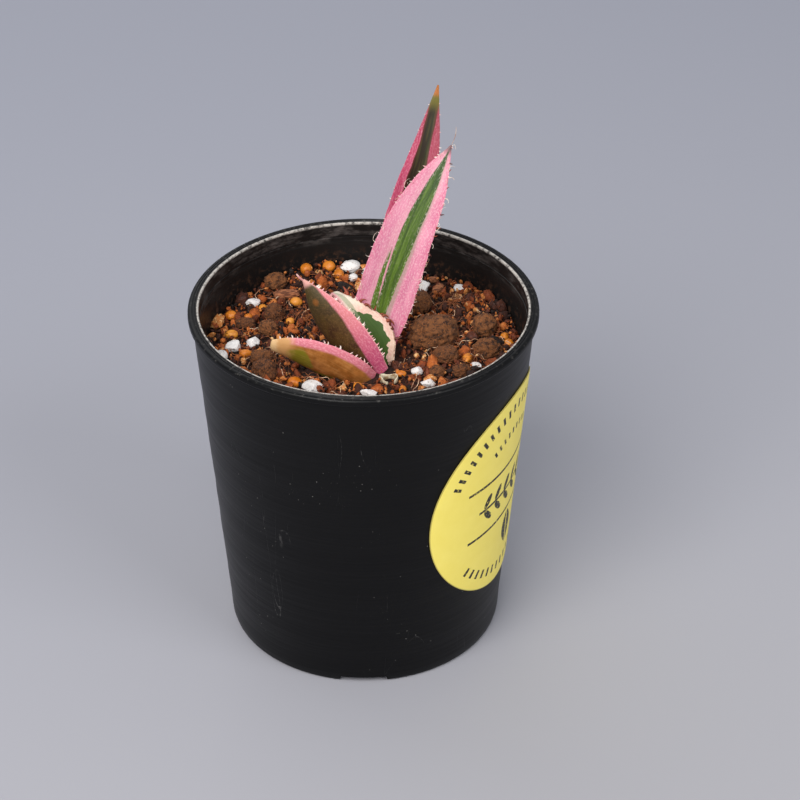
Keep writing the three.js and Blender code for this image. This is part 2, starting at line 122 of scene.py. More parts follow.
# %% Sockets that can be used in sums
class Value:
    """A socket of a node tree. Each operator adds one Math node to the tree."""

    def __init__(self, graph, socket):
        self.graph = graph
        self.socket = socket

    def math(self, operation, *others):
        inputs = dict(enumerate((self, *others)))
        return self.graph.add("ShaderNodeMath", {"operation": operation}, inputs)

    def __add__(self, other):
        return self.math("ADD", other)

    def __radd__(self, other):
        return self.math("ADD", other)

    def __sub__(self, other):
        return self.math("SUBTRACT", other)

    def __rsub__(self, other):
        return self.graph.add("ShaderNodeMath", {"operation": "SUBTRACT"}, {0: other, 1: self})

    def __mul__(self, other):
        return self.math("MULTIPLY", other)

    def __rmul__(self, other):
        return self.math("MULTIPLY", other)

    def __truediv__(self, other):
        return self.math("DIVIDE", other)

    def __abs__(self):
        return self.math("ABSOLUTE")

    def __lt__(self, other):
        return self.math("LESS_THAN", other)

    def __gt__(self, other):
        return self.math("GREATER_THAN", other)

    def least(self, other):
        return self.math("MINIMUM", other)

    def most(self, other):
        return self.math("MAXIMUM", other)

    def step(self, low, high):
        """Smooth step from 0 at low to 1 at high. It falls where low is above high."""
        inputs = {"Value": self, "From Min": low, "From Max": high}
        return self.graph.add("ShaderNodeMapRange", {"interpolation_type": "SMOOTHSTEP"}, inputs)

    def other(self, name):
        """Another output of the same node."""
        return Value(self.graph, self.socket.node.outputs[name])


print("operators of a socket:", [name for name in vars(Value) if name.startswith("__")])


# %% One method that adds any node
class Graph:
    """A shader or Geometry Nodes tree."""

    def __init__(self, tree):
        self.tree = tree
        self.tree.nodes.clear()

    def add(self, kind, settings=None, inputs=None, output=0):
        node = self.tree.nodes.new(kind)
        for key, setting in (settings or {}).items():
            if key == "stops":
                self.set_stops(node.color_ramp, setting)
            else:
                setattr(node, key, setting)
        for key, value in (inputs or {}).items():
            self.join(node.inputs[key], value)
        return Value(self, node.outputs[output]) if len(node.outputs) else node

    def join(self, socket, value):
        if isinstance(value, Value):
            self.tree.links.new(value.socket, socket)
        else:
            socket.default_value = value

    def set_stops(self, ramp, stops):
        while len(ramp.elements) < len(stops):
            ramp.elements.new(1)
        for element, (place, colour) in zip(ramp.elements, stops):
            element.position = place
            element.color = colour

    def vector(self, operation, *values, output="Vector"):
        return self.add("ShaderNodeVectorMath", {"operation": operation}, dict(enumerate(values)), output)

    def mix(self, factor, first, second):
        """Colour that goes from first to second."""
        return self.add("ShaderNodeMix", {"data_type": "RGBA"}, {0: factor, 6: first, 7: second}, 2)

    def noise(self, place, scale, detail=2, roughness=0.5):
        """Cloudy numbers from 0 to 1 with features about 1 / scale wide."""
        inputs = {"Vector": place, "Scale": scale, "Detail": detail, "Roughness": roughness}
        return self.add("ShaderNodeTexNoise", None, inputs)

    def cells(self, place, scale):
        """Distance to the nearest of many scattered points."""
        return self.add("ShaderNodeTexVoronoi", None, {"Vector": place, "Scale": scale})


print("methods of a tree:", [name for name in vars(Graph) if not name.startswith("_")])


# %% Colours and finishes
def srgb(red, green, blue):
    """Linear colour of three display values from 0 to 255."""
    shares = [value / 255 for value in (red, green, blue)]
    linear = [s / 12.92 if s <= 0.04045 else ((s + 0.055) / 1.055) ** 2.4 for s in shares]
    return (*linear, 1)


class Finish(Graph):
    """A material under construction, with places in millimetres."""

    def __init__(self, name):
        self.material = bpy.data.materials.new(name)
        self.material.use_nodes = True
        super().__init__(self.material.node_tree)
        raw = self.add("ShaderNodeTexCoord", output="Object")
        self.place = self.add("ShaderNodeVectorMath", {"operation": "SCALE"}, {0: raw, "Scale": 1 / MM})
        self.x = self.add("ShaderNodeSeparateXYZ", None, {0: self.place})
        self.y = self.x.other("Y")
        self.z = self.x.other("Z")

    def attribute(self, name):
        return self.add("ShaderNodeAttribute", {"attribute_name": name}, None, "Fac")

    def combine(self, x, y, z=0.0):
        return self.add("ShaderNodeCombineXYZ", None, {0: x, 1: y, 2: z})

    def stretch(self, x, y, z):
        """The place in millimetres, scaled along each axis."""
        return self.vector("MULTIPLY", self.place, (x, y, z))

    def radius(self):
        """Distance from the pot's axis, in millimetres."""
        return self.vector("LENGTH", self.stretch(1, 1, 0), output="Value")

    def surface(self, colour, roughness, height=None, depth=0.1, **fixed):
        """Ends the tree. height is a relief from 0 to 1 and depth its size in millimetres."""
        shader = self.tree.nodes.new("ShaderNodeBsdfPrincipled")
        self.join(shader.inputs["Base Color"], colour)
        self.join(shader.inputs["Roughness"], roughness)
        for name, value in fixed.items():
            shader.inputs[name.replace("_", " ")].default_value = value
        if height is not None:
            relief = {"Height": height, "Distance": depth * MM, "Strength": 1.0}
            self.join(shader.inputs["Normal"], self.add("ShaderNodeBump", None, relief))
        out = self.tree.nodes.new("ShaderNodeOutputMaterial")
        self.tree.links.new(shader.outputs[0], out.inputs["Surface"])
        return self.material


print("a middle grey is", round(srgb(128, 128, 128)[0], 3), "in linear light")


# %% [markdown]
# ## Helpers for meshes
# Each piece is worked out in millimetres as plain arrays of points and faces, because that keeps the
# numbers readable, and becomes a mesh in metres at the end. A piece's object stays at the origin.


# %% From arrays to a piece
def make_piece(name, points, faces, material):
    """Makes an object from points in millimetres. It stays at the origin, and its place is in its mesh."""
    mesh = bpy.data.meshes.new(name)
    mesh.from_pydata((np.asarray(points, float) * MM).tolist(), [], faces)
    mesh.validate()
    mesh.shade_smooth()
    mesh.materials.append(material)
    piece = bpy.data.objects.new(name, mesh)
    bpy.context.scene.collection.objects.link(piece)
    return piece


def store(piece, name, values):
    """Keeps one number per vertex for the material to read."""
    layer = piece.data.attributes.new(name, "FLOAT", "POINT")
    layer.data.foreach_set("value", np.asarray(values, np.float32).ravel())


def grid_faces(rings, sides, closed=True):
    """Quads between rings of points that follow each other in one list."""
    low = np.arange(rings - 1)[:, None] * sides
    side = np.arange(sides if closed else sides - 1)[None, :]
    after = (side + 1) % sides
    quads = np.stack([low + side, low + after, low + sides + after, low + sides + side], -1)
    return quads.reshape(-1, 4).tolist()


def turn_outward(piece):
    """Points the faces of a closed mesh outwards."""
    work = bmesh.new()
    work.from_mesh(piece.data)
    bmesh.ops.remove_doubles(work, verts=work.verts, dist=0.001 * MM)
    bmesh.ops.recalc_face_normals(work, faces=work.faces)
    work.to_mesh(piece.data)
    work.free()


def sharpen(piece, degrees):
    piece.data.set_sharp_from_angle(angle=math.radians(degrees))


def ride(piece, slot, *nodes):
    """Hangs a finished piece on the CAD body and hides the CAD nodes that it stands for."""
    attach(piece, "root")
    if nodes:
        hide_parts(*nodes)
    faces = len(piece.data.polygons)
    print(f"{piece.name}: {faces} faces")


print("two rings of four points make", len(grid_faces(2, 4)), "faces")

# %% [markdown] ## The floor The pot stands on a wide sheet of pale studio paper. Its colour is greyer far off
# and warmer near the camera: painted light, for the fall-off of the light over the paper. A picture could
# give that fall of tone, but two mixed colours do it with no picture.


# %% Floor
def floor_finish():
    finish = Finish("studio_paper")
    cloud = finish.noise(finish.place, 0.004, 3)
    # Painted light: the paper is made lighter and warmer towards the camera, for the fall-off of the light.
    painted_falloff = ((finish.x * 0.35 - finish.y) / 700).step(-0.6, 0.6)
    paper = finish.mix(painted_falloff, srgb(154, 156, 167), srgb(167, 165, 167))
    colour = finish.mix(cloud * 0.3, paper, srgb(158, 158, 166))
    return finish.surface(colour, 0.6, Specular_IOR_Level=0.2)


half = 4000
corners = [(-half, -half, 0), (half, -half, 0), (half, half, 0), (-half, half, 0)]
floor = make_piece("floor", corners, [[0, 1, 2, 3]], floor_finish())
print("floor is", 2 * half * MM, "m wide")

# %% [markdown]
# ## The pot
# The real pot is one injection-moulded shell of black polypropylene. A turned shell could be a cylinder
# with a few loop cuts, but its rim has a rolled lip, two fine grooves and a rough inner bead, so the whole
# section is written out and spun here in numbers. The foot's drain notches and the drain holes are then
# cut with one boolean, as they cross the turned shape.

# %% Sizes of the pot
FOOT_RADIUS = 36.2
FOOT_ROUNDING = 1.2
FOOT_FLAT = 4
FOOT_HEIGHT = 1.8
FLOOR_TOP = 3.1
FLOOR_CHAMFER = 2
LIP_OVERHANG = 1
LIP_HEIGHT = 1.8
LIP_UNDER_ROUNDING = 0.4
LIP_TOP_ROUNDING = 0.75
BEAD_ROUNDING = 0.36
RIM_LAND = 2.8
COLLAR_DEPTH = 4.3
COLLAR_STEP = 1.2
WALL = 1.7
MIDDLE_HOLE = 5
DRAIN_RADIUS = 4
DRAIN_CIRCLE = 22
NOTCH_WIDTH = 12

LIP_BOTTOM = RIM_HEIGHT - LIP_HEIGHT
COLLAR_RADIUS = RIM_RADIUS - RIM_LAND
COLLAR_BOTTOM = RIM_HEIGHT - COLLAR_DEPTH


def wall_radius(height):
    share = height / LIP_BOTTOM
    return FOOT_RADIUS + (RIM_RADIUS - LIP_OVERHANG - FOOT_RADIUS) * share


def inner_radius(height):
    return wall_radius(height) - WALL


print(f"wall is {wall_radius(0):.1f} mm at the foot and {wall_radius(LIP_BOTTOM):.1f} mm under the lip")


# %% Section of the pot, as radius and height
def arc(radius, height, size, start, end, steps=6):
    """Points of an arc round a centre, between two angles in degrees."""
    turns = np.radians(np.linspace(start, end, steps))
    return [(radius + size * math.cos(turn), height + size * math.sin(turn)) for turn in turns]


def outer_wall(rings=78):
    """The tapered wall, with the faint ripples that a hot mould leaves."""
    points = []
    for height in np.linspace(FOOT_ROUNDING + 0.5, LIP_BOTTOM - 0.4, rings):
        ripple = 0.05 * math.sin(height / 1.7) * math.sin(height / 9.5 + 0.8)
        ripple += 0.035 * math.sin(height / 4.3 + 1.0)
        points.append((wall_radius(height) + ripple - 0.03, height))
    return points


def rim_section():
    """Rolled lip, two fine grooves, and the raised bead at the inner edge."""
    top = RIM_HEIGHT
    under, over = LIP_UNDER_ROUNDING, LIP_TOP_ROUNDING
    lip = arc(RIM_RADIUS - under, LIP_BOTTOM + under, under, -90, 0)
    lip += arc(RIM_RADIUS - over, top - over, over, 0, 90)
    grooves = []
    for middle in (RIM_RADIUS - 1.25, RIM_RADIUS - 1.85):
        shape = ((0.18, 0), (0.08, -0.13), (-0.08, -0.13), (-0.18, 0))
        grooves += [(middle + out, top - 0.03 + down) for out, down in shape]
    bead = arc(COLLAR_RADIUS + BEAD_ROUNDING, top - 0.32, BEAD_ROUNDING, 90, 180, 7)
    return lip + grooves + bead


def inside_section():
    """Collar, its step with a fine line above and below, the inner wall and the floor."""
    foot = FLOOR_TOP + FLOOR_CHAMFER
    step_bottom = COLLAR_BOTTOM - COLLAR_STEP
    points = [(COLLAR_RADIUS, height) for height in np.linspace(RIM_HEIGHT - 1, COLLAR_BOTTOM + 0.5, 6)]
    points += [(COLLAR_RADIUS + 0.12, COLLAR_BOTTOM + 0.35), (COLLAR_RADIUS + 0.12, COLLAR_BOTTOM + 0.1)]
    points += [(COLLAR_RADIUS - 0.08, COLLAR_BOTTOM), (COLLAR_RADIUS - 0.12, COLLAR_BOTTOM - 0.5)]
    points.append((inner_radius(step_bottom) + 0.1, step_bottom + 0.2))
    points.append((inner_radius(step_bottom), step_bottom))
    points += [(inner_radius(height), height) for height in np.linspace(step_bottom - 0.4, foot, 30)]
    points += [(inner_radius(FLOOR_TOP) - FLOOR_CHAMFER, FLOOR_TOP), (MIDDLE_HOLE, FLOOR_TOP)]
    return points


def pot_section():
    foot_inner = FOOT_RADIUS - FOOT_ROUNDING - FOOT_FLAT
    under = [(MIDDLE_HOLE, FOOT_HEIGHT), (foot_inner, FOOT_HEIGHT), (foot_inner, 0.3), (foot_inner + 0.3, 0)]
    rounding = arc(FOOT_RADIUS - FOOT_ROUNDING, FOOT_ROUNDING, FOOT_ROUNDING, -90, -6, 9)
    return under + rounding + outer_wall() + rim_section() + inside_section()


section = pot_section()
print("the section has", len(section), "points")


# %% Spin the section
def spin(section, sides):
    """Points and faces of a closed section turned round the axis."""
    turns = 2 * np.pi * np.arange(sides) / sides
    radius, height = np.array(section).T
    x = radius[:, None] * np.cos(turns)
    y = radius[:, None] * np.sin(turns)
    z = np.repeat(height[:, None], sides, 1)
    points = np.stack([x, y, z], -1).reshape(-1, 3)
    faces = grid_faces(len(section), sides)
    last = (len(section) - 1) * sides
    faces += [[last + i, last + (i + 1) % sides, (i + 1) % sides, i] for i in range(sides)]
    return points, faces


POT_SIDES = 240
pot_points, pot_faces = spin(section, POT_SIDES)
print("the turned pot has", len(pot_faces), "faces before its holes are cut")


# %% Cutters for the holes
def cutters():
    """Drain holes and foot notches, as one mesh of separate solids."""
    work = bmesh.new()
    for quarter in range(4):
        bearing = math.radians(90 * quarter + 45)
        place = Vector((DRAIN_CIRCLE * math.cos(bearing), DRAIN_CIRCLE * math.sin(bearing), FLOOR_TOP / 2))
        bmesh.ops.create_cone(
            work, cap_ends=True, segments=48, radius1=DRAIN_RADIUS * MM, radius2=DRAIN_RADIUS * MM,
            depth=4 * FLOOR_TOP * MM, matrix=Matrix.Translation(place * MM),
        )
        made = bmesh.ops.create_cube(work, size=1)["verts"]
        for vert in made:
            top = vert.co.z > 0
            out = FOOT_RADIUS + 3 if vert.co.x > 0 else FOOT_RADIUS - FOOT_ROUNDING - FOOT_FLAT - 2
            width = NOTCH_WIDTH / 2 + (0 if top else 0.8)
            corner = Vector((out, math.copysign(width, vert.co.y), FOOT_HEIGHT if top else -1))
            vert.co = Matrix.Rotation(math.radians(90 * quarter), 3, "Z") @ corner * MM
    mesh = bpy.data.meshes.new("cutters")
    work.to_mesh(mesh)
    work.free()
    holder = bpy.data.objects.new("cutters", mesh)
    bpy.context.scene.collection.objects.link(holder)
    return holder


def apply_modifiers(piece):
    """Turns the evaluated piece into its plain mesh."""
    graph = bpy.context.evaluated_depsgraph_get()
    mesh = bpy.data.meshes.new_from_object(piece.evaluated_get(graph))
    piece.modifiers.clear()
    piece.data = mesh


def cut_away(piece, tool):
    modifier = piece.modifiers.new("holes", "BOOLEAN")
    modifier.operation = "DIFFERENCE"
    modifier.solver = "EXACT"
    modifier.object = tool
    apply_modifiers(piece)
    bpy.data.objects.remove(tool)


print("each notch is", NOTCH_WIDTH, "mm wide, and each drain hole", 2 * DRAIN_RADIUS, "mm")


# %% [markdown]
# ## The pot's finish
# Moulded black plastic is never one black. Handling leaves fine scratches and pale specks, the inner bead
# is rubbed to a broken white line, and dried water leaves a grey bloom on the collar. All of that could be
# painted, but a pattern built from the place on the pot needs no picture and stays sharp at any distance.


# %% Scratches and dust
def scratches(finish):
    """Sparse hairlines: places where a stretched noise passes through its middle value."""
    slanted = finish.noise(finish.stretch(0.05, 0.09, 0.022), 1, 1)
    steep = finish.noise(finish.stretch(0.11, 0.13, 0.012), 1, 1)
    lines = (abs(slanted - 0.5)).step(0.0022, 0.0008).most((abs(steep - 0.47)).step(0.0018, 0.0006))
    return lines * finish.noise(finish.place, 0.055, 2).step(0.56, 0.66)


def dust(finish):
    specks = finish.cells(finish.place, 0.45).step(0.075, 0.04)
    tiny = finish.cells(finish.place, 1.3).step(0.09, 0.05)
    patch = finish.noise(finish.place, 0.06, 3)
    return specks * patch.step(0.52, 0.62) + tiny * patch.step(0.6, 0.7) * 0.6


print("scratches and dust reach", RIM_HEIGHT, "mm up, to the rim")


# %% Black plastic
def pot_finish():
    finish = Finish("black_moulded_plastic")
    radius = finish.radius()
    height = finish.z
    rubbed = finish.noise(finish.place, 0.8, 4, 0.65)
    on_top = height.step(RIM_HEIGHT - LIP_TOP_ROUNDING, RIM_HEIGHT - 0.35)
    on_bead = radius.step(COLLAR_RADIUS + 0.62, COLLAR_RADIUS + 0.4) * on_top
    bead = on_bead * rubbed.step(0.3, 0.56)
    lip_wear = on_top * rubbed.step(0.56, 0.78) * 0.2
    taper = (RIM_RADIUS - LIP_OVERHANG - FOOT_RADIUS) / LIP_BOTTOM
    from_wall = radius - (height * taper + FOOT_RADIUS)
    inside = from_wall.step(-WALL * 0.6, -WALL * 0.8)
    smudge = finish.noise(finish.stretch(0.16, 0.16, 0.5), 1, 5, 0.7)
    bloom = inside * height.step(COLLAR_BOTTOM - 2.5, COLLAR_BOTTOM + 1) * smudge.step(0.44, 0.74)
    near_soil = height.step(RIM_HEIGHT - 6, RIM_HEIGHT - 12)
    splash = inside * near_soil * finish.noise(finish.place, 0.7, 4, 0.7).step(0.5, 0.66)
    marks = scratches(finish)
    specks = dust(finish)
    body = finish.mix(finish.noise(finish.place, 0.03, 2), srgb(4, 4, 5), srgb(8, 8, 9))
    colour = finish.mix((bloom * 0.5 + inside * 0.05).least(1), body, srgb(112, 104, 100))
    colour = finish.mix(splash * 0.6, colour, srgb(92, 62, 44))
    colour = finish.mix(marks * rubbed.step(0.45, 0.6) * 0.22, colour, srgb(120, 118, 116))
    colour = finish.mix(specks.least(1) * 0.45, colour, srgb(170, 166, 160))
    colour = finish.mix((bead + lip_wear).least(1) * 0.9, colour, srgb(196, 190, 182))
    flow = finish.noise(finish.stretch(0.04, 0.04, 0.7), 1, 2)
    roughness = 0.34 + flow * 0.1 + bloom * 0.3 + bead * 0.3 + splash * 0.3
    pebble = finish.noise(finish.place, 2.6, 2)
    relief = flow * 0.7 + pebble * 0.05 - marks * 0.2 + on_bead * rubbed * 0.9 + specks * 0.1
    return finish.surface(colour, roughness, relief, 0.12, Specular_IOR_Level=0.17)


pot = make_piece("nursery_pot", pot_points, pot_faces, pot_finish())
turn_outward(pot)
cut_away(pot, cutters())
sharpen(pot, 32)
ride(pot, "pot", "pot")


# %% [markdown]
# ## The round label
# A round paper label is stuck on the wall. It could be a flat disc pushed on with a Shrinkwrap, but paper
# does not stretch, so the disc is laid out flat in millimetres and each point is rolled onto the cone. The
# flat coordinates stay on the mesh for the print. The print is a plain one: three arcs of dashes, two
# rules, a sprig and a leaf shape.

# %% Sizes of the label and its wrap
LABEL_RADIUS = 30.8
LABEL_BEARING = math.radians(-21.5)
LABEL_HEIGHT = RIM_HEIGHT - 45
LABEL_TILT = math.radians(6)
LABEL_FRONT = 0.42
LABEL_BACK = 0.12


def wrap_on_wall(across, up, lift):
    """Rolls flat places onto the tapered wall. On a cone the ends of a level line come out higher."""
    slope = math.asin((RIM_RADIUS - LIP_OVERHANG - FOOT_RADIUS) / LIP_BOTTOM)
    rise = math.sin(slope) / (2 * wall_radius(LABEL_HEIGHT))
    height = LABEL_HEIGHT + (up + across**2 * rise) * math.cos(slope)
    bearing = LABEL_BEARING + across / wall_radius(height)
    radius = wall_radius(height) + lift
    return np.stack([radius * np.cos(bearing), radius * np.sin(bearing), height], -1)


label_top = wrap_on_wall(0, LABEL_RADIUS, LABEL_FRONT)[2]
print(f"the label reaches up to {label_top:.1f} mm")


# %% The label's sheet
def make_label(material, sides=144):
    turns = 2 * np.pi * np.arange(sides) / sides
    shares = np.array([0.001, *np.linspace(0.06, 0.985, 22), 1.0])
    lifts = np.full(len(shares), LABEL_FRONT)
    lifts[-1] = LABEL_FRONT - 0.06
    radius = LABEL_RADIUS * np.concatenate([shares, shares[::-1]])[:, None]
    lift = np.concatenate([lifts, np.full(len(shares), LABEL_BACK)])[:, None]
    across = radius * np.cos(turns)
    up = radius * np.sin(turns)
    points = wrap_on_wall(across, up, lift).reshape(-1, 3)
    faces = grid_faces(len(radius), sides)
    faces += [list(range(sides - 1, -1, -1)), [len(points) - sides + i for i in range(sides)]]
    label = make_piece("wall_label", points, faces, material)
    store(label, "across", across * math.cos(LABEL_TILT) + up * math.sin(LABEL_TILT))
    store(label, "up", up * math.cos(LABEL_TILT) - across * math.sin(LABEL_TILT))
    turn_outward(label)
    sharpen(label, 40)
    return label


print("the sheet is", round(LABEL_FRONT - LABEL_BACK, 2), "mm thick")

# %% [markdown]
# ## The label's print
# Printed marks could be a picture on the sheet. Here each mark is a small sum on the flat coordinates: a
# stroke is where a distance is less than half its width. So the print stays sharp and needs no picture.


# %% Marks of the print
def dashes(finish, across, up, radius, deep, arc_middle, arc_half, count):
    """A row of upright strokes on part of a circle."""
    far = finish.vector("LENGTH", finish.combine(across, up), output="Value")
    bearing = up.math("ARCTAN2", across) - arc_middle
    on_arc = abs(bearing) < arc_half
    stroke = (bearing * (count / (2 * math.pi))).math("FRACT") < 0.36
    return (abs(far - radius) < deep / 2) * on_arc * stroke


def sprig(across, up):
    """A level stem with pairs of slanted leaves."""
    pitch = 4.6
    stem = (abs(up) < 0.4) * (abs(across) < 15)
    local = ((across / pitch).math("FRACT") - 0.5) * pitch
    high = abs(up) - 2.3
    long_way = (local * 0.6 + high * 0.8) / 2.3
    short_way = (local * 0.8 - high * 0.6) / 0.95
    leaf = (long_way * long_way + short_way * short_way) < 1
    return stem.most(leaf * (abs(across) < 13.8))


def leaf_mark(across, up, height):
    """A pointed upright leaf with a clear midrib."""
    share = (up - height) / 6
    half_width = (1 - share * share) * 3
    return (abs(across) < half_width) * (abs(across) > 0.3)


DASH_ARCS = (
    # radius, depth, middle and half angle of the arc in degrees, strokes in a full turn
    (26, 2.6, 90, 64, 60),
    (26, 2.6, -90, 50, 60),
    (18.6, 1.9, 90, 32, 52),
)
print("the print has", len(DASH_ARCS), "arcs of dashes")


# %% Yellow paper
def label_finish():
    finish = Finish("yellow_label_paper")
    across = finish.attribute("across")
    up = finish.attribute("up")
    print_mask = sprig(across, up)
    for height in (8.2, -8.2):
        print_mask = print_mask.most((abs(up - height) < 0.4) * (abs(across) < 19))
    print_mask = print_mask.most(leaf_mark(across, up, -15.2))
    for radius, deep, middle_arc, half_arc, count in DASH_ARCS:
        arc_place = (math.radians(middle_arc), math.radians(half_arc))
        print_mask = print_mask.most(dashes(finish, across, up, radius, deep, *arc_place, count))
    worn = finish.noise(finish.place, 1.6, 3).step(0.25, 0.45)
    pulp = finish.noise(finish.place, 0.25, 4)
    paper = finish.mix(pulp, srgb(240, 220, 96), srgb(248, 230, 116))
    far = finish.vector("LENGTH", finish.combine(across, up), output="Value")
    # Painted shade: a thin darker band along the border stands for the shaded edge of the paper.
    rim = far.step(LABEL_RADIUS - 0.35, LABEL_RADIUS - 0.1)
    colour = finish.mix(rim * 0.6, paper, srgb(120, 108, 60))
    colour = finish.mix(print_mask * worn, colour, srgb(24, 23, 19))
    fibre = finish.noise(finish.place, 3, 4)
    return finish.surface(colour, 0.45 + fibre * 0.1, fibre - print_mask * 0.2, 0.02)


label = make_label(label_finish())
ride(label, "round_label", "round_label")

# %% [markdown]
# ## The bed of soil
# The potting mix is coir, fine bark and volcanic grit. A real heap has thousands of grains, and only the
# upper ones show. So the bed is one lumpy closed solid with a very fine top, and loose crumbs are strewn
# over it later. The top starts as a square grid that is bent into a disc, because a round grid would crowd
# its points at the middle. A displacement texture could lift it, but sums of noise worked out here also
# tell where the leaves and the large grains keep the crumbs away.

# %% The shape of the bed
SOIL_LEVEL = RIM_HEIGHT - 13
SOIL_LUMP = 0.7
SOIL_GAP = 0.3
SOIL_RADIUS = inner_radius(SOIL_LEVEL) - SOIL_GAP
CROWN = np.array((2, -6.5, SOIL_LEVEL))


def hill(x, y, bearing, share, height, spread):
    """A round heap, or a hollow where the height is negative."""
    middle_x = SOIL_RADIUS * share * math.cos(math.radians(bearing))
    middle_y = SOIL_RADIUS * share * math.sin(math.radians(bearing))
    return height * np.exp(-0.5 * ((x - middle_x) ** 2 + (y - middle_y) ** 2) / spread**2)


def soil_level(x, y):
    """The broad rise and fall of the bed, with two heaps against the wall."""
    broad = np.sin(x / 9 + 0.6) * np.cos(y / 11 - 0.4)
    fine = np.sin(x / 3.7 + y / 5.1) * np.cos(y / 4.3 - 1.1)
    heaps = hill(x, y, 28, 0.85, 2.2, 8) + hill(x, y, 113, 0.9, 1.8, 9)
    return SOIL_LEVEL + SOIL_LUMP * (0.7 * broad + 0.5 * fine) + heaps


print(f"the bed's radius is {SOIL_RADIUS:.1f} mm at {SOIL_LEVEL:.0f} mm")


# %% Lumps and hollows of the bed
def cloud(points, size, seed=0, octaves=3, sharp=0.9):
    """Layered noise at each point, from about -1 to 1, with features as wide as size."""
    shift = Vector((seed * 7.31, seed * 3.17, seed * 5.53))
    return np.array([noise.fractal(Vector(p) / size + shift, sharp, 2.1, octaves) for p in points])


def bed_height(x, y):
    flat = np.stack([x, y, np.zeros_like(x)], -1)
    height = soil_level(x, y) + 0.55 * cloud(flat, 4.2, 1) + 0.5 * cloud(flat, 1.5, 2) - 0.5
    height += hill(x, y, -18, 0.26, -2.6, 3.2) + hill(x, y, 80, 0.14, -1.2, 5)
    edge = np.clip((SOIL_RADIUS - np.hypot(x, y)) / 2, 0, 1)
    return height - 0.8 * (1 - edge)


middle_height = bed_height(np.zeros(1), np.zeros(1))[0]
print(f"the bed is {middle_height:.1f} mm high at the pot's axis")


# %% A square grid bent into a disc
def disc_grid(count):
    """A square grid bent into a unit disc. Its border runs round the circle once."""
    line = np.linspace(-1, 1, count)
    a, b = np.meshgrid(line, line, indexing="ij")
    wide = np.abs(a) > np.abs(b)
    safe_a = np.where(a == 0, 1, a)
    safe_b = np.where(b == 0, 1, b)
    turn = np.where(wide, np.pi / 4 * b / safe_a, np.pi / 2 - np.pi / 4 * a / safe_b)
    reach = np.where(wide, a, b)
    return reach * np.cos(turn), reach * np.sin(turn)


def border(count):
    """Numbers of the grid's outer points, in order round the square."""
    row = np.arange(count)
    back = row[::-1]
    last = count - 1
    return [*(row * count), *(last * count + row[1:]), *(back[1:] * count + last), *back[1:-1]]


BED_GRID = 210
x, y = disc_grid(BED_GRID)
x = x.ravel() * SOIL_RADIUS
y = y.ravel() * SOIL_RADIUS
bed_top = np.stack([x, y, bed_height(x, y)], -1)
print(f"bed top runs from {bed_top[:, 2].min():.1f} to {bed_top[:, 2].max():.1f} mm")

# %% [markdown]
# ## The leaves as numbers
# An agave leaf is a channelled blade: broad at its clasping base, widest low down and drawn out to a spine.
# It could be sculpted, but a blade follows a rule: a centre line, a facing, a width, a thickness and a cup,
# each read from the base to the tip. Lines are in millimetres from the crown, where the leaves meet. The
# same rule gives the blade, its margins for the teeth, and the places that the crumbs have to leave free.

# %% The five blades
LEAVES = {
    "leaf_tall_front": {
        "line": [
            (-1.2, 3.5, -2), (1.4, 6.4, 9), (5, 7.8, 21.5),
            (9.2, 9.4, 33.7), (14.4, 11.5, 44.6), (20, 14.5, 54.6),
        ],
        "facing": [(0.25, -1, 0.3), (0.05, -1, 0.25)],
        "width": [9.5, 15.2, 16, 14.3, 10, 0.4],
        "thickness": [3.4, 3.2, 2.8, 2.4, 1.8, 0.5],
        "cup": [0.9, 0.75, 0.65, 0.6, 0.6, 0.5],
    },
    "leaf_tall_back": {
        "line": [
            (1.4, 7, -3), (4.2, 10.5, 12), (7.2, 13.5, 25.5),
            (10.8, 17.5, 39), (14.1, 21, 52.5), (16.7, 24.5, 66.3),
        ],
        "facing": [(0.1, -1, 0.3), (-0.1, -1, 0.2)],
        "width": [8.5, 11.6, 13, 11.7, 6.9, 0.4],
        "thickness": [3.4, 3.2, 2.8, 2.4, 1.8, 0.5],
        "cup": [0.9, 0.8, 0.75, 0.7, 0.7, 0.7],
    },
    "leaf_short_cream": {
        "line": [(1.8, -1, -1.5), (0.7, 0.2, 6.9), (-3.4, 0.5, 12.8), (-6.9, 3.1, 16), (-9.4, 6.6, 16.1)],
        "facing": [(0.45, -0.55, 0.65), (0.3, -0.3, 0.9)],
        "width": [8.6, 11, 8.3, 4.6, 2.8],
        "thickness": [3, 2.6, 2.2, 1.8, 1],
        "cup": [0.9, 0.8, 0.6, 0.5, 0.4],
    },
    "leaf_side_olive": {
        "line": [
            (-0.2, -3.1, -2.4), (-4.9, -3, 4.8), (-9.3, -1.5, 10.6), (-13.5, 0.5, 16.5), (-17.1, 3.5, 22),
        ],
        "facing": [(0.55, 0.8, 0.2), (0.4, 0.85, 0.3)],
        "width": [11.5, 15.5, 15.5, 10.5, 0.8],
        "thickness": [3.6, 3.4, 3, 2.2, 0.8],
        "cup": [0.8, 0.6, 0.55, 0.5, 0.5],
    },
    "leaf_stub_front": {
        "line": [
            (-2.6, -6.1, -2.8), (-7.2, -8.7, 1.8), (-13, -9.7, 6), (-19.4, -9, 8.5), (-24.6, -7.5, 9.2),
        ],
        "facing": [(0.3, 0.9, 0.3), (0.1, 0.9, 0.45)],
        "width": [11, 14, 13.2, 10.2, 5],
        "thickness": [3.6, 3.4, 3.2, 2.8, 2.2],
        "cup": [0.7, 0.55, 0.5, 0.4, 0.3],
    },
}
print(len(LEAVES), "leaves are written out")


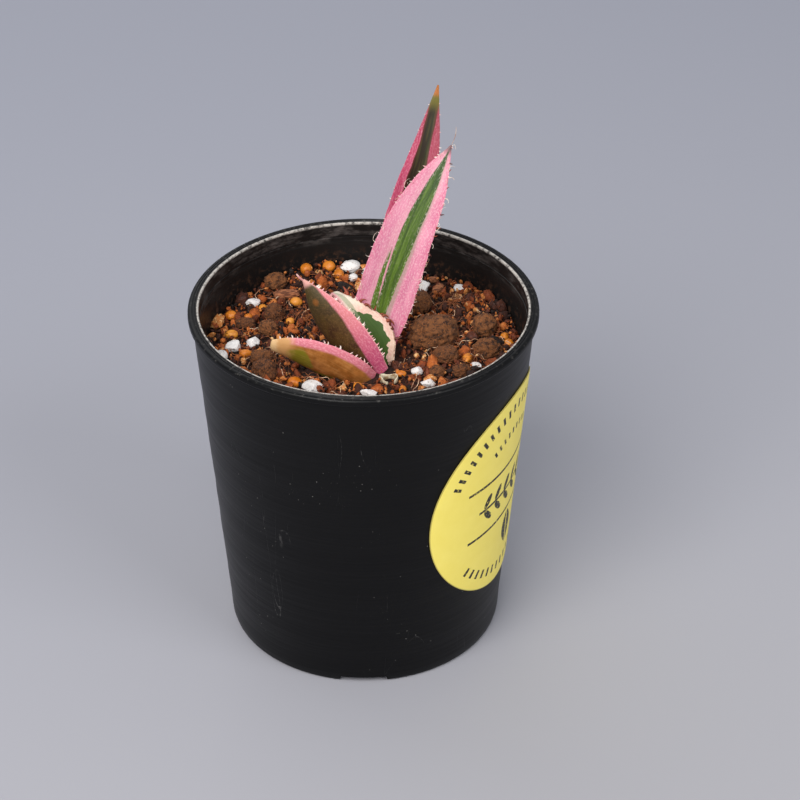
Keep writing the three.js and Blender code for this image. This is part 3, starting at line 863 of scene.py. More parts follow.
# %% Reading a rule smoothly
def smooth_read(values, share):
    """Smooth curve through evenly spaced values, read at an array of shares from 0 to 1."""
    values = np.asarray(values, float)
    padded = np.array([2 * values[0] - values[1], *values, 2 * values[-1] - values[-2]])
    place = np.clip(share, 0, 1) * (len(values) - 1)
    first = np.minimum(place.astype(int), len(values) - 2)
    t = place - first
    if values.ndim > 1:
        t = t[..., None]
    before, start, end, after = (padded[first + i] for i in range(4))
    leave = (end - before) / 2
    arrive = (after - start) / 2
    cubic = 2 * start - 2 * end + leave + arrive
    square = -3 * start + 3 * end - 2 * leave - arrive
    return cubic * t**3 + square * t**2 + leave * t + start


def unit(vectors):
    return vectors / np.linalg.norm(vectors, axis=-1, keepdims=True)


widest = smooth_read(LEAVES["leaf_tall_front"]["width"], np.linspace(0, 1, 60)).max()
print(f"the front leaf is {widest:.1f} mm wide")


# %% A blade from its rule
class Blade:
    """Stations of a leaf: centre, directions and sizes at each share of its length."""

    def __init__(self, name, share):
        leaf = LEAVES[name]
        self.share = share
        self.centre = CROWN + smooth_read(leaf["line"], share)
        step = smooth_read(leaf["line"], share + 0.01) - smooth_read(leaf["line"], share - 0.01)
        self.direction = unit(step)
        start, end = np.array(leaf["facing"], float)
        face = start + (end - start) * share[:, None]
        face = face - (face * self.direction).sum(-1, keepdims=True) * self.direction
        self.face = unit(face)
        self.side = np.cross(self.direction, self.face)
        self.half_width = np.maximum(smooth_read(leaf["width"], share), 0.2) / 2
        self.half_thickness = np.maximum(smooth_read(leaf["thickness"], share), 0.2) / 2
        self.cup = smooth_read(leaf["cup"], share)
        lengths = np.linalg.norm(np.diff(self.centre, axis=0), axis=1)
        self.run = np.concatenate([[0], np.cumsum(lengths)])

    def point(self, across, out):
        """Points of the blade. across runs from -1 to 1, and out is a height off the middle surface."""
        turn = self.cup[:, None] * across
        bend = (self.half_width / self.cup)[:, None]
        sine = np.sin(turn)[..., None]
        cosine = np.cos(turn)[..., None]
        face = self.face[:, None]
        side = self.side[:, None]
        middle = self.centre[:, None] + bend[..., None] * (sine * side + (1 - cosine) * face)
        return middle + np.asarray(out)[..., None] * (cosine * face - sine * side)


for name in LEAVES:
    print(name, "is", round(Blade(name, np.linspace(0, 1, 60)).run[-1], 1), "mm long")


# %% Where the crumbs may lie
def leaf_footprint():
    """Places and half thicknesses where a blade passes close to the soil."""
    low = []
    for name in LEAVES:
        blade = Blade(name, np.linspace(0, 1, 60))
        points = blade.point(np.linspace(-1, 1, 15)[None, :], np.zeros((60, 15)))
        size = np.repeat(blade.half_thickness[:, None], 15, 1)
        near = np.abs(points[..., 2] - SOIL_LEVEL + 0.5) < 3
        low.append(np.concatenate([points[near][:, :2], size[near][:, None]], 1))
    return np.concatenate(low)


footprint = leaf_footprint()
print(len(footprint), "places of the blades lie close to the soil")


# %% Where the large grains lie
def grain_pose(node):
    """Middle, long axis in plan and half sizes of a CAD grain, in millimetres."""
    points = np.array([vert.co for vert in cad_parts[node].data.vertices]) / MM
    middle = (points.min(0) + points.max(0)) / 2
    flat = points[:, :2] - points[:, :2].mean(0)
    axes = np.linalg.eigh(flat.T @ flat)[1]
    long_way = axes[:, 1] * (1 if axes[0, 1] > 0 else -1)
    short_way = np.array([-long_way[1], long_way[0]])
    half = [np.ptp(flat @ long_way) / 2, np.ptp(flat @ short_way) / 2, np.ptp(points[:, 2]) / 2]
    return middle, long_way, np.array(half)


def nodes_named(start):
    return sorted(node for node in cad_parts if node.startswith(start))


def nearest(points, obstacles):
    """Distance in plan from each point to the edge of the nearest round obstacle."""
    best = np.full(len(points), 1e9)
    for x, y, size in obstacles:
        best = np.minimum(best, np.hypot(points[:, 0] - x, points[:, 1] - y) - size)
    return best


GRAIN_KINDS = ("perlite_chip", "fertilizer_pellet", "soil_clump", "bark_chip", "dried_husk")
grain_spots = []
for kind in GRAIN_KINDS:
    for node in nodes_named(kind):
        middle, _, half = grain_pose(node)
        grain_spots.append((middle[0], middle[1], half[:2].mean()))
leaf_clear = nearest(bed_top, footprint)
grain_clear = nearest(bed_top, grain_spots)
wall_clear = SOIL_RADIUS - np.hypot(bed_top[:, 0], bed_top[:, 1])
free = np.clip(leaf_clear / 0.6, 0, 1) * np.clip(wall_clear / 0.6, 0, 1)
free = free * np.clip(grain_clear / 0.5 + 0.8, 0, 1)
print(f"{len(grain_spots)} large grains, and {free.mean():.0%} of the bed is free for crumbs")


# %% Soil colours
def earth(finish, tint):
    """Red-brown coir with darker and paler bits, for a tint from 0 to 1."""
    stops = [
        (0.0, srgb(24, 9, 3)),
        (0.3, srgb(80, 34, 12)),
        (0.55, srgb(132, 60, 20)),
        (0.78, srgb(178, 92, 32)),
        (0.95, srgb(204, 132, 66)),
        (1.0, srgb(228, 186, 132)),
    ]
    return finish.add("ShaderNodeValToRGB", {"stops": stops}, {"Fac": tint})


SOIL_ROUGHNESS = 0.92
GLINT_DROP = 0.45


def bed_finish():
    finish = Finish("coir_bed")
    patch = finish.noise(finish.place, 0.35, 3)
    speck = finish.noise(finish.place, 2.2, 4, 0.7)
    # Painted shade: the bed shows only in the gaps between the crumbs, and its tint is pulled far down to
    # stand for the shade in those gaps.
    colour = earth(finish, speck * 0.8 + patch * 0.3 - 0.48)
    glint = finish.noise(finish.place, 5, 2).step(0.62, 0.72)
    relief = finish.noise(finish.place, 3, 5, 0.75)
    return finish.surface(colour, SOIL_ROUGHNESS - glint * GLINT_DROP, relief, 0.25)


print("the soil's roughness falls to", round(SOIL_ROUGHNESS - GLINT_DROP, 2), "where it glints")


# %% The bed as one closed solid
def make_bed():
    ring = bed_top[border(BED_GRID)]
    shoulder = SOIL_LEVEL - 3
    low = FLOOR_TOP + FLOOR_CHAMFER
    bottom = FLOOR_TOP + SOIL_GAP
    levels = (
        (shoulder, inner_radius(shoulder)),
        (low, inner_radius(low)),
        (bottom, inner_radius(low) - FLOOR_CHAMFER),
    )
    points = [bed_top]
    for height, radius in levels:
        flat = ring[:, :2] / np.linalg.norm(ring[:, :2], axis=1)[:, None] * (radius - SOIL_GAP)
        points.append(np.column_stack([flat, np.full(len(flat), height)]))
    faces = grid_faces(BED_GRID, BED_GRID, closed=False)
    starts = np.array(border(BED_GRID))
    count = len(starts)
    for level in range(len(levels)):
        ends = BED_GRID**2 + level * count + np.arange(count)
        faces += np.stack([starts, ends, np.roll(ends, -1), np.roll(starts, -1)], -1).tolist()
        starts = ends
    centre = BED_GRID**2 + len(levels) * count
    points.append([[0, 0, bottom]])
    faces += [[centre, starts[(i + 1) % count], starts[i]] for i in range(count)]
    bed = make_piece("soil_bed", np.concatenate(points), faces, bed_finish())
    store(bed, "free", np.concatenate([free, np.zeros(len(bed.data.vertices) - len(free))]))
    turn_outward(bed)
    return bed


bed = make_bed()
ride(bed, "soil", "soil")

# %% [markdown]
# ## Large grains
# The grains that can be named one by one are white perlite, orange slow-release pellets, hard brown clods
# and bark. Each takes its place, turn and size from the CAD grain that it stands for, and its shape from a
# fine ball: perlite is cut by random planes and pitted, a clod is roughened, a pellet is nearly smooth. A
# sculpted grain would be as good, but could not be repeated with new sizes. The clods are made a little
# taller than their nodes, so that they stand clear of the crumbs round them.


# %% Balls that become stones
def ball(level):
    """Points and triangles of a unit ball."""
    work = bmesh.new()
    bmesh.ops.create_icosphere(work, subdivisions=level, radius=1)
    work.verts.ensure_lookup_table()
    points = np.array([vert.co for vert in work.verts])
    faces = [[vert.index for vert in face.verts] for face in work.faces]
    work.free()
    return unit(points), faces


print("a ball of level 4 has", len(ball(4)[1]), "triangles")


# %% Shapes of the grains
def random_planes(seed, count):
    """Directions and distances of planes that cut a stone."""
    draw = np.random.default_rng(seed)
    return unit(draw.normal(size=(count, 3))), draw.uniform(0.62, 0.95, count)


def cut_stone(points, seed, count=10, grain=0.04):
    """An angular chip with small pits."""
    normals, distances = random_planes(seed, count)
    toward = points @ normals.T
    reach = np.where(toward > 0.05, distances / np.maximum(toward, 0.05), 9)
    radius = np.minimum(reach.min(1), 1.05)
    pits = np.clip(cloud(points, 0.42, seed, 2) - 0.25, 0, 0.5)
    return points * (radius + grain * cloud(points, 0.3, seed + 5, 3) - 0.18 * pits)[:, None]


def clod(points, seed, rough=0.16):
    """A lump of soil with knobs and hollows."""
    radius = 1 + rough * cloud(points, 0.7, seed, 2) + rough * 0.8 * cloud(points, 0.24, seed + 3, 5)
    return points * radius[:, None]


def pellet(points, seed):
    """A coated pellet: round, with one flat or dented side."""
    normals, distances = random_planes(seed, 3)
    toward = points @ normals.T
    dent = np.clip(toward - distances, 0, 1).max(1)
    return points * (1 + 0.05 * cloud(points, 0.8, seed, 2) - 0.5 * dent)[:, None]


def bark(points, seed):
    """A flake with a fibrous length and broken ends."""
    block = np.sign(points) * np.abs(points) ** 0.6
    fibre = cloud(points * (0.35, 2.2, 2.2), 0.4, seed, 3)
    return block * (0.86 + 0.12 * fibre + 0.08 * cloud(points, 0.5, seed, 3))[:, None]


chip = cut_stone(ball(3)[0], 1)
print("a chip measures", np.ptp(chip, axis=0).round(2), "before it is sized")


# %% All the grains of a kind as one piece
def make_grains(name, kind, shape, level, material, swell=1.0, raised=0.0):
    """One piece for all the grains of a kind. Each is turned and sized as its CAD grain is."""
    points, faces = ball(level)
    all_points, all_faces, tints = [], [], []
    nodes = nodes_named(kind)
    draw = np.random.default_rng(len(name))
    for number, node in enumerate(nodes):
        middle, long_way, half = grain_pose(node)
        local = shape(points, number + 1)
        local = local / np.ptp(local, axis=0) * 2 * half * swell
        local[:, 2] *= 1 + raised
        middle[2] += raised * half[2]
        plan = local[:, :1] * long_way + local[:, 1:2] * np.array([-long_way[1], long_way[0]])
        all_points.append(np.column_stack([plan, local[:, 2]]) + middle)
        all_faces += (np.array(faces) + number * len(points)).tolist()
        tints += [draw.random()] * len(points)
    piece = make_piece(name, np.concatenate(all_points), all_faces, material)
    store(piece, "tint", tints)
    ride(piece, kind, *nodes)


for kind in GRAIN_KINDS:
    print(kind, "stands for", len(nodes_named(kind)), "nodes")

# %% [markdown]
# ## Finishes of the large grains
# Perlite is expanded white glass with pits, a coated pellet is a waxy orange bead with browner blots, a clod
# is dry crust with orange grit, and bark is fibrous. On perlite and clods the low places of the relief are
# painted darker, as painted shade. Each is noise of the right scale mixed between two or three colours, and
# one number for each grain makes neighbours differ.


# %% Hard clods
CLOD_SWELL = 1.04
CLOD_RAISED = 0.25


def clod_finish():
    finish = Finish("hard_clod")
    tint = finish.attribute("tint")
    crust_relief_and_shade = finish.noise(finish.place, 0.8, 5, 0.7)
    grit = finish.noise(finish.place, 3.2, 4, 0.7)
    colour = finish.mix(tint, srgb(94, 54, 26), srgb(120, 74, 38))
    # Painted shade: the low places of the crust relief are painted dark.
    colour = finish.mix(crust_relief_and_shade.step(0.34, 0.56), srgb(44, 22, 10), colour)
    colour = finish.mix(grit.step(0.54, 0.68) * 0.8, colour, srgb(178, 102, 40))
    return finish.surface(colour, 0.88, crust_relief_and_shade * 0.6 + grit * 0.4, 0.5)


make_grains("soil_clods", "soil_clump", clod, 5, clod_finish(), CLOD_SWELL, CLOD_RAISED)


# %% Coated pellets
def pellet_finish():
    finish = Finish("coated_pellet")
    tint = finish.attribute("tint")
    blot = finish.noise(finish.place, 0.9, 3)
    colour = finish.mix(tint, srgb(202, 112, 20), srgb(220, 146, 50))
    colour = finish.mix(blot.step(0.5, 0.7) * 0.55, colour, srgb(150, 70, 16))
    skin = finish.noise(finish.place, 4, 3)
    return finish.surface(colour, 0.36 + skin * 0.2, skin, 0.04)


make_grains("feed_pellets", "fertilizer_pellet", pellet, 4, pellet_finish())


# %% Perlite
def perlite_finish():
    finish = Finish("perlite")
    pit_relief_and_shade = finish.noise(finish.place, 1.6, 4, 0.7)
    stain = finish.noise(finish.place, 0.5, 3)
    # Painted shade: the low places of the pit relief are painted darker.
    colour = finish.mix(pit_relief_and_shade.step(0.44, 0.3), srgb(226, 222, 219), srgb(164, 150, 140))
    colour = finish.mix(stain.step(0.58, 0.78) * 0.4, colour, srgb(214, 184, 156))
    return finish.surface(colour, 0.75, pit_relief_and_shade, 0.16)


make_grains("perlite_chips", "perlite_chip", cut_stone, 4, perlite_finish())


# %% Bark
def bark_finish():
    finish = Finish("bark")
    fibre = finish.noise(finish.stretch(0.5, 1.6, 3), 1.2, 4, 0.6)
    colour = finish.mix(fibre.step(0.38, 0.62), srgb(92, 50, 30), srgb(176, 112, 74))
    return finish.surface(colour, 0.85, fibre, 0.3)


make_grains("bark_chips", "bark_chip", bark, 4, bark_finish())

# %% [markdown]
# ## Crumbs by Geometry Nodes
# Thousands of crumbs could be a particle system, but Geometry Nodes keep the whole recipe in one tree:
# spread points over the bed with a least spacing, put a random crumb on each, and turn and size it by
# chance. The tree ends in real geometry, and the result is turned into a plain mesh.


# %% A Geometry Nodes tree with named inputs
class Recipe(Graph):
    """A tree that grows pieces on a ground object. Its result is kept as a plain mesh."""

    def __init__(self, name, inputs):
        super().__init__(bpy.data.node_groups.new(name, "GeometryNodeTree"))
        self.sockets = {}
        for label, kind in {"Geometry": "Geometry", **inputs}.items():
            face = self.tree.interface
            self.sockets[label] = face.new_socket(label, in_out="INPUT", socket_type="NodeSocket" + kind)
        self.tree.interface.new_socket("Geometry", in_out="OUTPUT", socket_type="NodeSocketGeometry")
        self.entry = self.tree.nodes.new("NodeGroupInput")

    def given(self, label):
        return Value(self, self.entry.outputs[label])

    def chance(self, low, high, salt):
        """A random number for each element."""
        seed = self.given("Seed") + salt
        inputs = {2: low, 3: high, "Seed": seed}
        return self.add("FunctionNodeRandomValue", {"data_type": "FLOAT"}, inputs, 1)

    def named(self, label, kind="FLOAT"):
        """An attribute of the ground."""
        return self.add("GeometryNodeInputNamedAttribute", {"data_type": kind}, {"Name": label})

    def scatter(self, points, salt, **placed):
        """Puts a random one of the shapes on each point. The salt makes its choice differ from others."""
        whole_number = {4: 0, 5: 63, "Seed": self.given("Seed") + salt}
        pick = self.add("FunctionNodeRandomValue", {"data_type": "INT"}, whole_number, 2)
        listed = {"Collection": self.given("Shapes"), "Separate Children": True, "Reset Children": True}
        shapes = self.add("GeometryNodeCollectionInfo", None, listed)
        chosen = {"Points": points, "Instance": shapes, "Pick Instance": True, "Instance Index": pick}
        return self.add("GeometryNodeInstanceOnPoints", None, {**chosen, **placed})

    def tinted(self, pieces, salt):
        """Gives each piece one number for its colour."""
        settings = {"data_type": "FLOAT", "domain": "INSTANCE"}
        tint = {"Geometry": pieces, "Name": "tint", "Value": self.chance(0.0, 1.0, salt)}
        return self.add("GeometryNodeStoreNamedAttribute", settings, tint)

    def end(self, geometry, material):
        real = self.add("GeometryNodeRealizeInstances", None, {"Geometry": geometry})
        dressed = self.add("GeometryNodeSetMaterial", None, {"Geometry": real, "Material": material})
        out = self.tree.nodes.new("NodeGroupOutput")
        self.tree.links.new(dressed.socket, out.inputs["Geometry"])

    def grow(self, ground, name, settings):
        """Runs the tree on the ground and returns its result as a piece of its own."""
        modifier = ground.modifiers.new(name, "NODES")
        modifier.node_group = self.tree
        for label, setting in settings.items():
            modifier[self.sockets[label].identifier] = setting
        graph = bpy.context.evaluated_depsgraph_get()
        mesh = bpy.data.meshes.new_from_object(ground.evaluated_get(graph))
        ground.modifiers.remove(modifier)
        mesh.name = name
        piece = bpy.data.objects.new(name, mesh)
        bpy.context.scene.collection.objects.link(piece)
        return piece


def shape_set(name, shapes):
    """A collection of small meshes that a recipe picks from."""
    group = bpy.data.collections.new(name)
    for number, (points, faces) in enumerate(shapes):
        mesh = bpy.data.meshes.new(f"{name}_{number}")
        mesh.from_pydata((np.asarray(points) * MM).tolist(), [], faces)
        mesh.shade_smooth()
        group.objects.link(bpy.data.objects.new(f"{name}_{number}", mesh))
    return group


print("a recipe can", [name for name in vars(Recipe) if not name.startswith("_")])


# %% The crumb recipe
def crumb_recipe(material):
    recipe = Recipe("crumbs", {
        "Shapes": "Collection", "Spacing": "Float", "Density": "Float", "Smallest": "Float",
        "Largest": "Float", "Sink": "Float", "Lift": "Float", "Seed": "Int",
    })
    spread = {
        "Mesh": recipe.given("Geometry"), "Distance Min": recipe.given("Spacing"),
        "Density Max": recipe.given("Density"), "Density Factor": recipe.named("free"),
        "Seed": recipe.given("Seed"),
    }
    points = recipe.add("GeometryNodeDistributePointsOnFaces", {"distribute_method": "POISSON"}, spread)
    luck = recipe.chance(0.0, 1.0, 1)
    size = recipe.given("Smallest") + (recipe.given("Largest") - recipe.given("Smallest")) * luck * luck
    height = recipe.given("Lift") * recipe.chance(0.0, 1.0, 2) - recipe.given("Sink")
    offset = recipe.add("ShaderNodeCombineXYZ", None, {"Z": height})
    points = recipe.add("GeometryNodeSetPosition", None, {"Geometry": points, "Offset": offset})
    whole = {0: (0.0, 0.0, 0.0), 1: (6.28, 6.28, 6.28), "Seed": recipe.given("Seed") + 3}
    turn = recipe.add("FunctionNodeRandomValue", {"data_type": "FLOAT_VECTOR"}, whole)
    crumbs = recipe.scatter(points, 4, Rotation=turn, Scale=size)
    recipe.end(recipe.tinted(crumbs, 5), material)
    return recipe


def crumb_finish():
    finish = Finish("coir_crumbs")
    tint = finish.attribute("tint")
    mottle = finish.noise(finish.place, 1.7, 3, 0.65)
    colour = earth(finish, tint * 1.05 + mottle * 0.6 - 0.37)
    wet = finish.noise(finish.place, 0.9, 2).step(0.52, 0.66)
    return finish.surface(colour, 0.85 - wet * 0.4, finish.noise(finish.place, 4, 4, 0.7), 0.2)


crumbs = crumb_recipe(crumb_finish())
print("the recipe's inputs:", list(crumbs.sockets))


# %% The shapes of the crumbs, and three sizes of them
def crumb_shapes(level, count, seed, flatness):
    """Small lumps one millimetre across, some of them long or flat."""
    points, faces = ball(level)
    draw = np.random.default_rng(seed)
    made = []
    for number in range(count):
        shape = cut_stone(points, seed + number, 9, 0.1) if number % 2 else clod(points, seed + number, 0.35)
        stretch = np.array([draw.uniform(0.8, 1.7), draw.uniform(0.7, 1.1), draw.uniform(flatness, 1.0)])
        made.append((shape * stretch * 0.5, faces))
    return made


coarse = shape_set("coarse", crumb_shapes(3, 8, 10, 0.5))
small = shape_set("small", crumb_shapes(2, 8, 30, 0.4))
for name, shapes, spacing, density, smallest, largest, sink, lift, seed in (
    ("coarse_crumbs", coarse, 2.2, 0.16, 1.5, 3.9, 0.2, 1.5, 1),
    ("middle_crumbs", small, 1.1, 0.5, 0.8, 2.1, 0.2, 1.9, 2),
    ("fine_crumbs", small, 0.75, 0.8, 0.3, 1.0, 0.1, 2.2, 3),
):
    settings = {
        "Shapes": shapes, "Spacing": spacing * MM, "Density": density / MM**2, "Smallest": smallest,
        "Largest": largest, "Sink": sink * MM, "Lift": lift * MM, "Seed": seed,
    }
    ride(crumbs.grow(bed, name, settings), "soil")

# %% [markdown]
# ## Leaf skins
# The two upright leaves show their hollow faces: pink margins with pale dots round a green middle stripe.
# The three lower ones are shorter, and two of them show their backs. The stripes could be painted, but
# here each border is a curve along the blade. Its distance, in millimetres, is stored on the points, and
# the shader draws the border and wobbles it with a noise that is stretched along the leaf.


# %% A closed skin over rings
def capped(rings, start, end):
    """Points and faces of a tube that ends in a point at both ends."""
    count, sides = rings.shape[:2]
    points = np.concatenate([rings.reshape(-1, 3), [start], [end]])
    faces = grid_faces(count, sides)
    last = (count - 1) * sides
    faces += [[count * sides, (i + 1) % sides, i] for i in range(sides)]
    faces += [[count * sides + 1, last + i, last + (i + 1) % sides] for i in range(sides)]
    return points, faces


def stripe(share, across, half_width, left, right):
    """How far inside a stripe a point is, in millimetres. Its borders run across from -1 to 1."""
    low = smooth_read(left, share)
    high = smooth_read(right, share)
    return np.minimum(across - low, high - across) * half_width


print("a stripe's middle is", stripe(np.array([0.5]), 0, 8, [-0.2, -0.2], [0.2, 0.2])[0], "mm inside it")


# %% Stripes of each leaf, as their left and right borders from base to tip
STRIPES = {
    "leaf_tall_front": {
        "middle": ([-0.2, -0.2, -0.2, -0.24, -0.26, -0.24, -0.1], [0.14, 0.2, 0.28, 0.38, 0.44, 0.46, 0.4]),
        "second": (
            [-0.44, -0.44, -0.43, -0.40, -0.3, -0.3, -0.3],
            [-0.1, -0.14, -0.24, -0.31, -0.42, -0.6, -0.8],
        ),
        "haze": ([-0.1, -0.1, 0.0, 0.05, 0.1, 0.1, 0.1], [0.3, 0.36, 0.42, 0.48, 0.5, 0.5, 0.5]),
    },
    "leaf_tall_back": {
        "middle": ([-0.6, -0.6, -0.6, -0.6, -0.62, -0.66, -1.3], [0.35, 0.35, 0.35, 0.33, 0.34, 0.42, 1.3]),
        "second": ([-0.3, -0.3, -0.2, -0.1, 0.05, 0.1, 0.4], [0.2, 0.2, 0.2, 0.22, 0.3, 0.2, 0.2]),
        "haze": ([0.05, 0.05, 0.05, 0.1, 0.15, 0.3, 0.6], [0.5, 0.5, 0.5, 0.45, 0.4, 0.3, 0.3]),
    },
    "leaf_short_cream": {
        "middle": ([-0.6, -0.55, -0.5, -0.4, -0.3, -0.3, -0.3], [0.56, 0.6, 0.66, 0.3, -0.4, -0.9, -0.9]),
        "second": ([-0.3, -0.3, -0.3, -0.3, -0.4, -0.5, -0.4], [-0.5, -0.5, -0.5, -0.1, 0.2, 0.3, -0.2]),
        "haze": ([0.1, 0.1, 0.1, 0.1, 0.1, 0.1, 0.1], [-1, -1, -1, -1, -1, -1, -1]),
    },
    "leaf_side_olive": {
        "middle": ([-0.5, -0.52, -0.56, -0.62, -0.7, -0.8, -1.2], [1.2, 1.2, 1.2, 1.2, 1.2, 1.2, 1.2]),
        "second": ([0.1, 0.1, 0.0, -0.1, -0.3, -0.4, -0.5], [0.4, 0.5, 0.6, 0.6, 0.7, 1.0, 1.0]),
        "haze": ([0.75, 0.75, 0.8, 0.85, 1.1, 1.2, 1.2], [1.3, 1.3, 1.3, 1.3, 1.3, 1.3, 1.3]),
    },
    "leaf_stub_front": {
        "middle": ([-0.7, -0.72, -0.74, -0.72, -0.68, -0.7, -0.9], [1.2, 1.2, 1.2, 1.2, 1.2, 1.2, 1.2]),
        "second": ([-0.2, 0.0, 0.25, 0.55, 1.1, 1.2, 1.2], [1.3, 1.3, 1.3, 1.3, 1.3, 1.3, 1.3]),
        "haze": ([0.6, 0.6, 0.6, 0.3, -0.5, -0.2, 0.6], [-1, -1, -1, 0.2, 0.6, 0.1, -1]),
    },
}


print("each leaf has", [label for label in STRIPES["leaf_tall_front"]])


# %% A leaf's solid
def make_leaf(name, material, stations=170, sides=60):
    """A leaf with its stripes and distances stored on its points."""
    share = np.linspace(0, 1, stations)
    blade = Blade(name, share)
    turns = 2 * np.pi * np.arange(sides) / sides
    across = np.repeat(np.cos(turns)[None, :], stations, 0)
    sine = np.sin(turns)
    lens = np.sign(sine) * np.abs(sine) ** 1.5
    nick = cloud(np.stack([blade.run, 0 * share, 0 * share], -1), 2.2, len(name), 2)
    blade.half_width = blade.half_width * (1 + 0.02 * nick * (share > 0.05))
    rings = blade.point(across, blade.half_thickness[:, None] * lens[None, :])
    middle = rings[-1].mean(0)
    forward = blade.direction[-1] * blade.half_width[-1] * 0.3
    for turn in np.radians((25, 50, 72)):
        cap = middle + (rings[stations - 1] - middle) * math.cos(turn) + forward * math.sin(turn)
        rings = np.concatenate([rings, cap[None]])
    points, faces = capped(rings, blade.centre[0] - blade.direction[0] * 0.5, middle + forward)
    leaf = make_piece(name.replace("leaf_", "agave_"), points, faces, material)

    def keep(label, values):
        filled = np.concatenate([values, np.repeat(values[-1:], 3, 0)]).ravel()
        store(leaf, label, np.concatenate([filled, [values[0].mean(), values[-1].mean()]]))

    whole = np.ones((stations, sides))
    half_width = blade.half_width[:, None] * whole
    keep("share", share[:, None] * whole)
    keep("across", across)
    keep("along", blade.run[:, None] * whole)
    keep("side", across * half_width)
    keep("edge", (1 - np.abs(across)) * half_width)
    keep("to_tip", (blade.run[-1] - blade.run)[:, None] * whole)
    keep("top", whole * np.sign(np.round(sine, 6)))
    for label, (left, right) in STRIPES[name].items():
        keep(label, stripe(share[:, None] * whole, across, half_width, left, right))
    turn_outward(leaf)
    return leaf


LEAF_FIELDS = (
    "share", "across", "along", "side", "edge", "to_tip", "top", "middle", "second", "haze",
)
print("a leaf carries", len(LEAF_FIELDS), "fields for its skin")


# %% Leaf skin in the shader
class LeafSkin(Finish):
    """A leaf's skin. Its patterns run along the blade and are measured in millimetres."""

    def __init__(self, name):
        super().__init__(name)
        for label in LEAF_FIELDS:
            setattr(self, label, self.attribute(label))

    def streaks(self, length, width, detail=2, shift=0.0):
        """Noise drawn out along the blade."""
        flat = self.combine(self.along / length, self.side / width, self.top * 5 + shift)
        return self.noise(flat, 1, detail)

    def inside(self, field, soft=0.12, wobble=0.7, length=5):
        """1 inside a stripe, with a border that wavers along the blade."""
        wander = (self.streaks(length, 0.9, 3) - 0.5) * wobble
        return (field + wander).step(-soft, soft)

    def dotted(self, colour, pale, amount=0.6):
        """Fine pale dots in short rows, as the cells under the skin show them."""
        dots = self.streaks(0.6, 0.34, 2, 3.0).step(0.46, 0.66)
        veins = self.streaks(7, 0.4, 2, 7.0).step(0.48, 0.7)
        return self.mix((dots * 0.85 + veins * 0.3).least(1) * amount, colour, pale)

    def leaf_surface(self, colour, roughness=0.42, bloom=0.1):
        rows = self.streaks(3, 0.35, 3)
        cells = self.streaks(0.5, 0.25, 2, 9.0)
        rough = roughness + rows * bloom
        return self.surface(colour, rough, rows * 0.6 + cells * 0.4, 0.05, Specular_IOR_Level=0.45)


print("patterns of a skin:", [name for name in vars(LeafSkin) if not name.startswith("_")])

# %% [markdown]
# ## The five leaves
# Each leaf gets a skin of its own, built from the back forward: the margin colour, then the stripes, then
# the dry tip and small scars. One function for each leaf keeps its colours together. It could be one
# material with many switches, but five short ones are easier to read and to change.


# %% The pink and green front leaf
def show_leaf(name, material):
    leaf = make_leaf(name, material)
    ride(leaf, name, name)
    low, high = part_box(name)
    gap = max((Vector(leaf.bound_box[6]) - high).length, (Vector(leaf.bound_box[0]) - low).length)
    print(f"{name}: corners within {gap / MM:.1f} mm of the CAD leaf")


def front_leaf_finish():
    skin = LeafSkin("pink_and_green_leaf")
    pale = srgb(240, 206, 208)
    cloudy = skin.streaks(12, 3, 3)
    pink = skin.mix(cloudy.step(0.35, 0.65), srgb(208, 116, 146), srgb(226, 142, 166))
    pink = skin.mix(skin.edge.step(1.6, 0.2) * 0.5, pink, srgb(214, 112, 140))
    pink = skin.dotted(pink, pale, 0.5)
    halo = skin.inside(skin.middle.most(skin.second) + 1.3, 0.9, 0.5)
    pink = skin.mix(halo * 0.25, pink, srgb(222, 180, 178))
    green = skin.mix(skin.share.step(0.35, 0.95), srgb(80, 108, 26), srgb(58, 82, 40))
    green = skin.mix(skin.streaks(9, 0.5, 3).step(0.4, 0.7) * 0.6, green, srgb(108, 134, 56))
    shadow = skin.streaks(14, 1.1, 3, 5.0)
    green = skin.mix(shadow.step(0.45, 0.62) * 0.6, green, srgb(38, 62, 22))
    near_edge = skin.middle.most(skin.second).step(1.0, 0.1)
    flecks = skin.streaks(0.9, 0.38, 2, 11.0).step(0.5, 0.62)
    green = skin.mix(flecks * (near_edge * 0.4 + 0.05), green, srgb(206, 196, 178))
    haze = skin.inside(skin.haze, 0.4, 0.8) * 0.5
    colour = skin.mix(haze, pink, srgb(128, 138, 104))
    colour = skin.mix(skin.inside(skin.second, 0.1, 0.45), colour, green)
    colour = skin.mix(skin.inside(skin.middle, 0.14, 0.35), colour, green)
    colour = skin.mix(skin.to_tip.step(3.2, 0.6), colour, srgb(112, 84, 84))
    base = skin.share.step(0.22, 0.05) * (1 - skin.inside(skin.middle))
    colour = skin.mix(base * 0.6, colour, srgb(206, 96, 138))
    scar = skin.noise(skin.combine(skin.along / 1.5, skin.side / 0.35), 1, 1)
    red_nick = (abs(scar - 0.5)).step(0.02, 0.006) * skin.edge.step(1.4, 0.5) * cloudy.step(0.5, 0.6)
    colour = skin.mix(red_nick * 0.7, colour, srgb(150, 50, 60))
    return skin.leaf_surface(colour)


show_leaf("leaf_tall_front", front_leaf_finish())


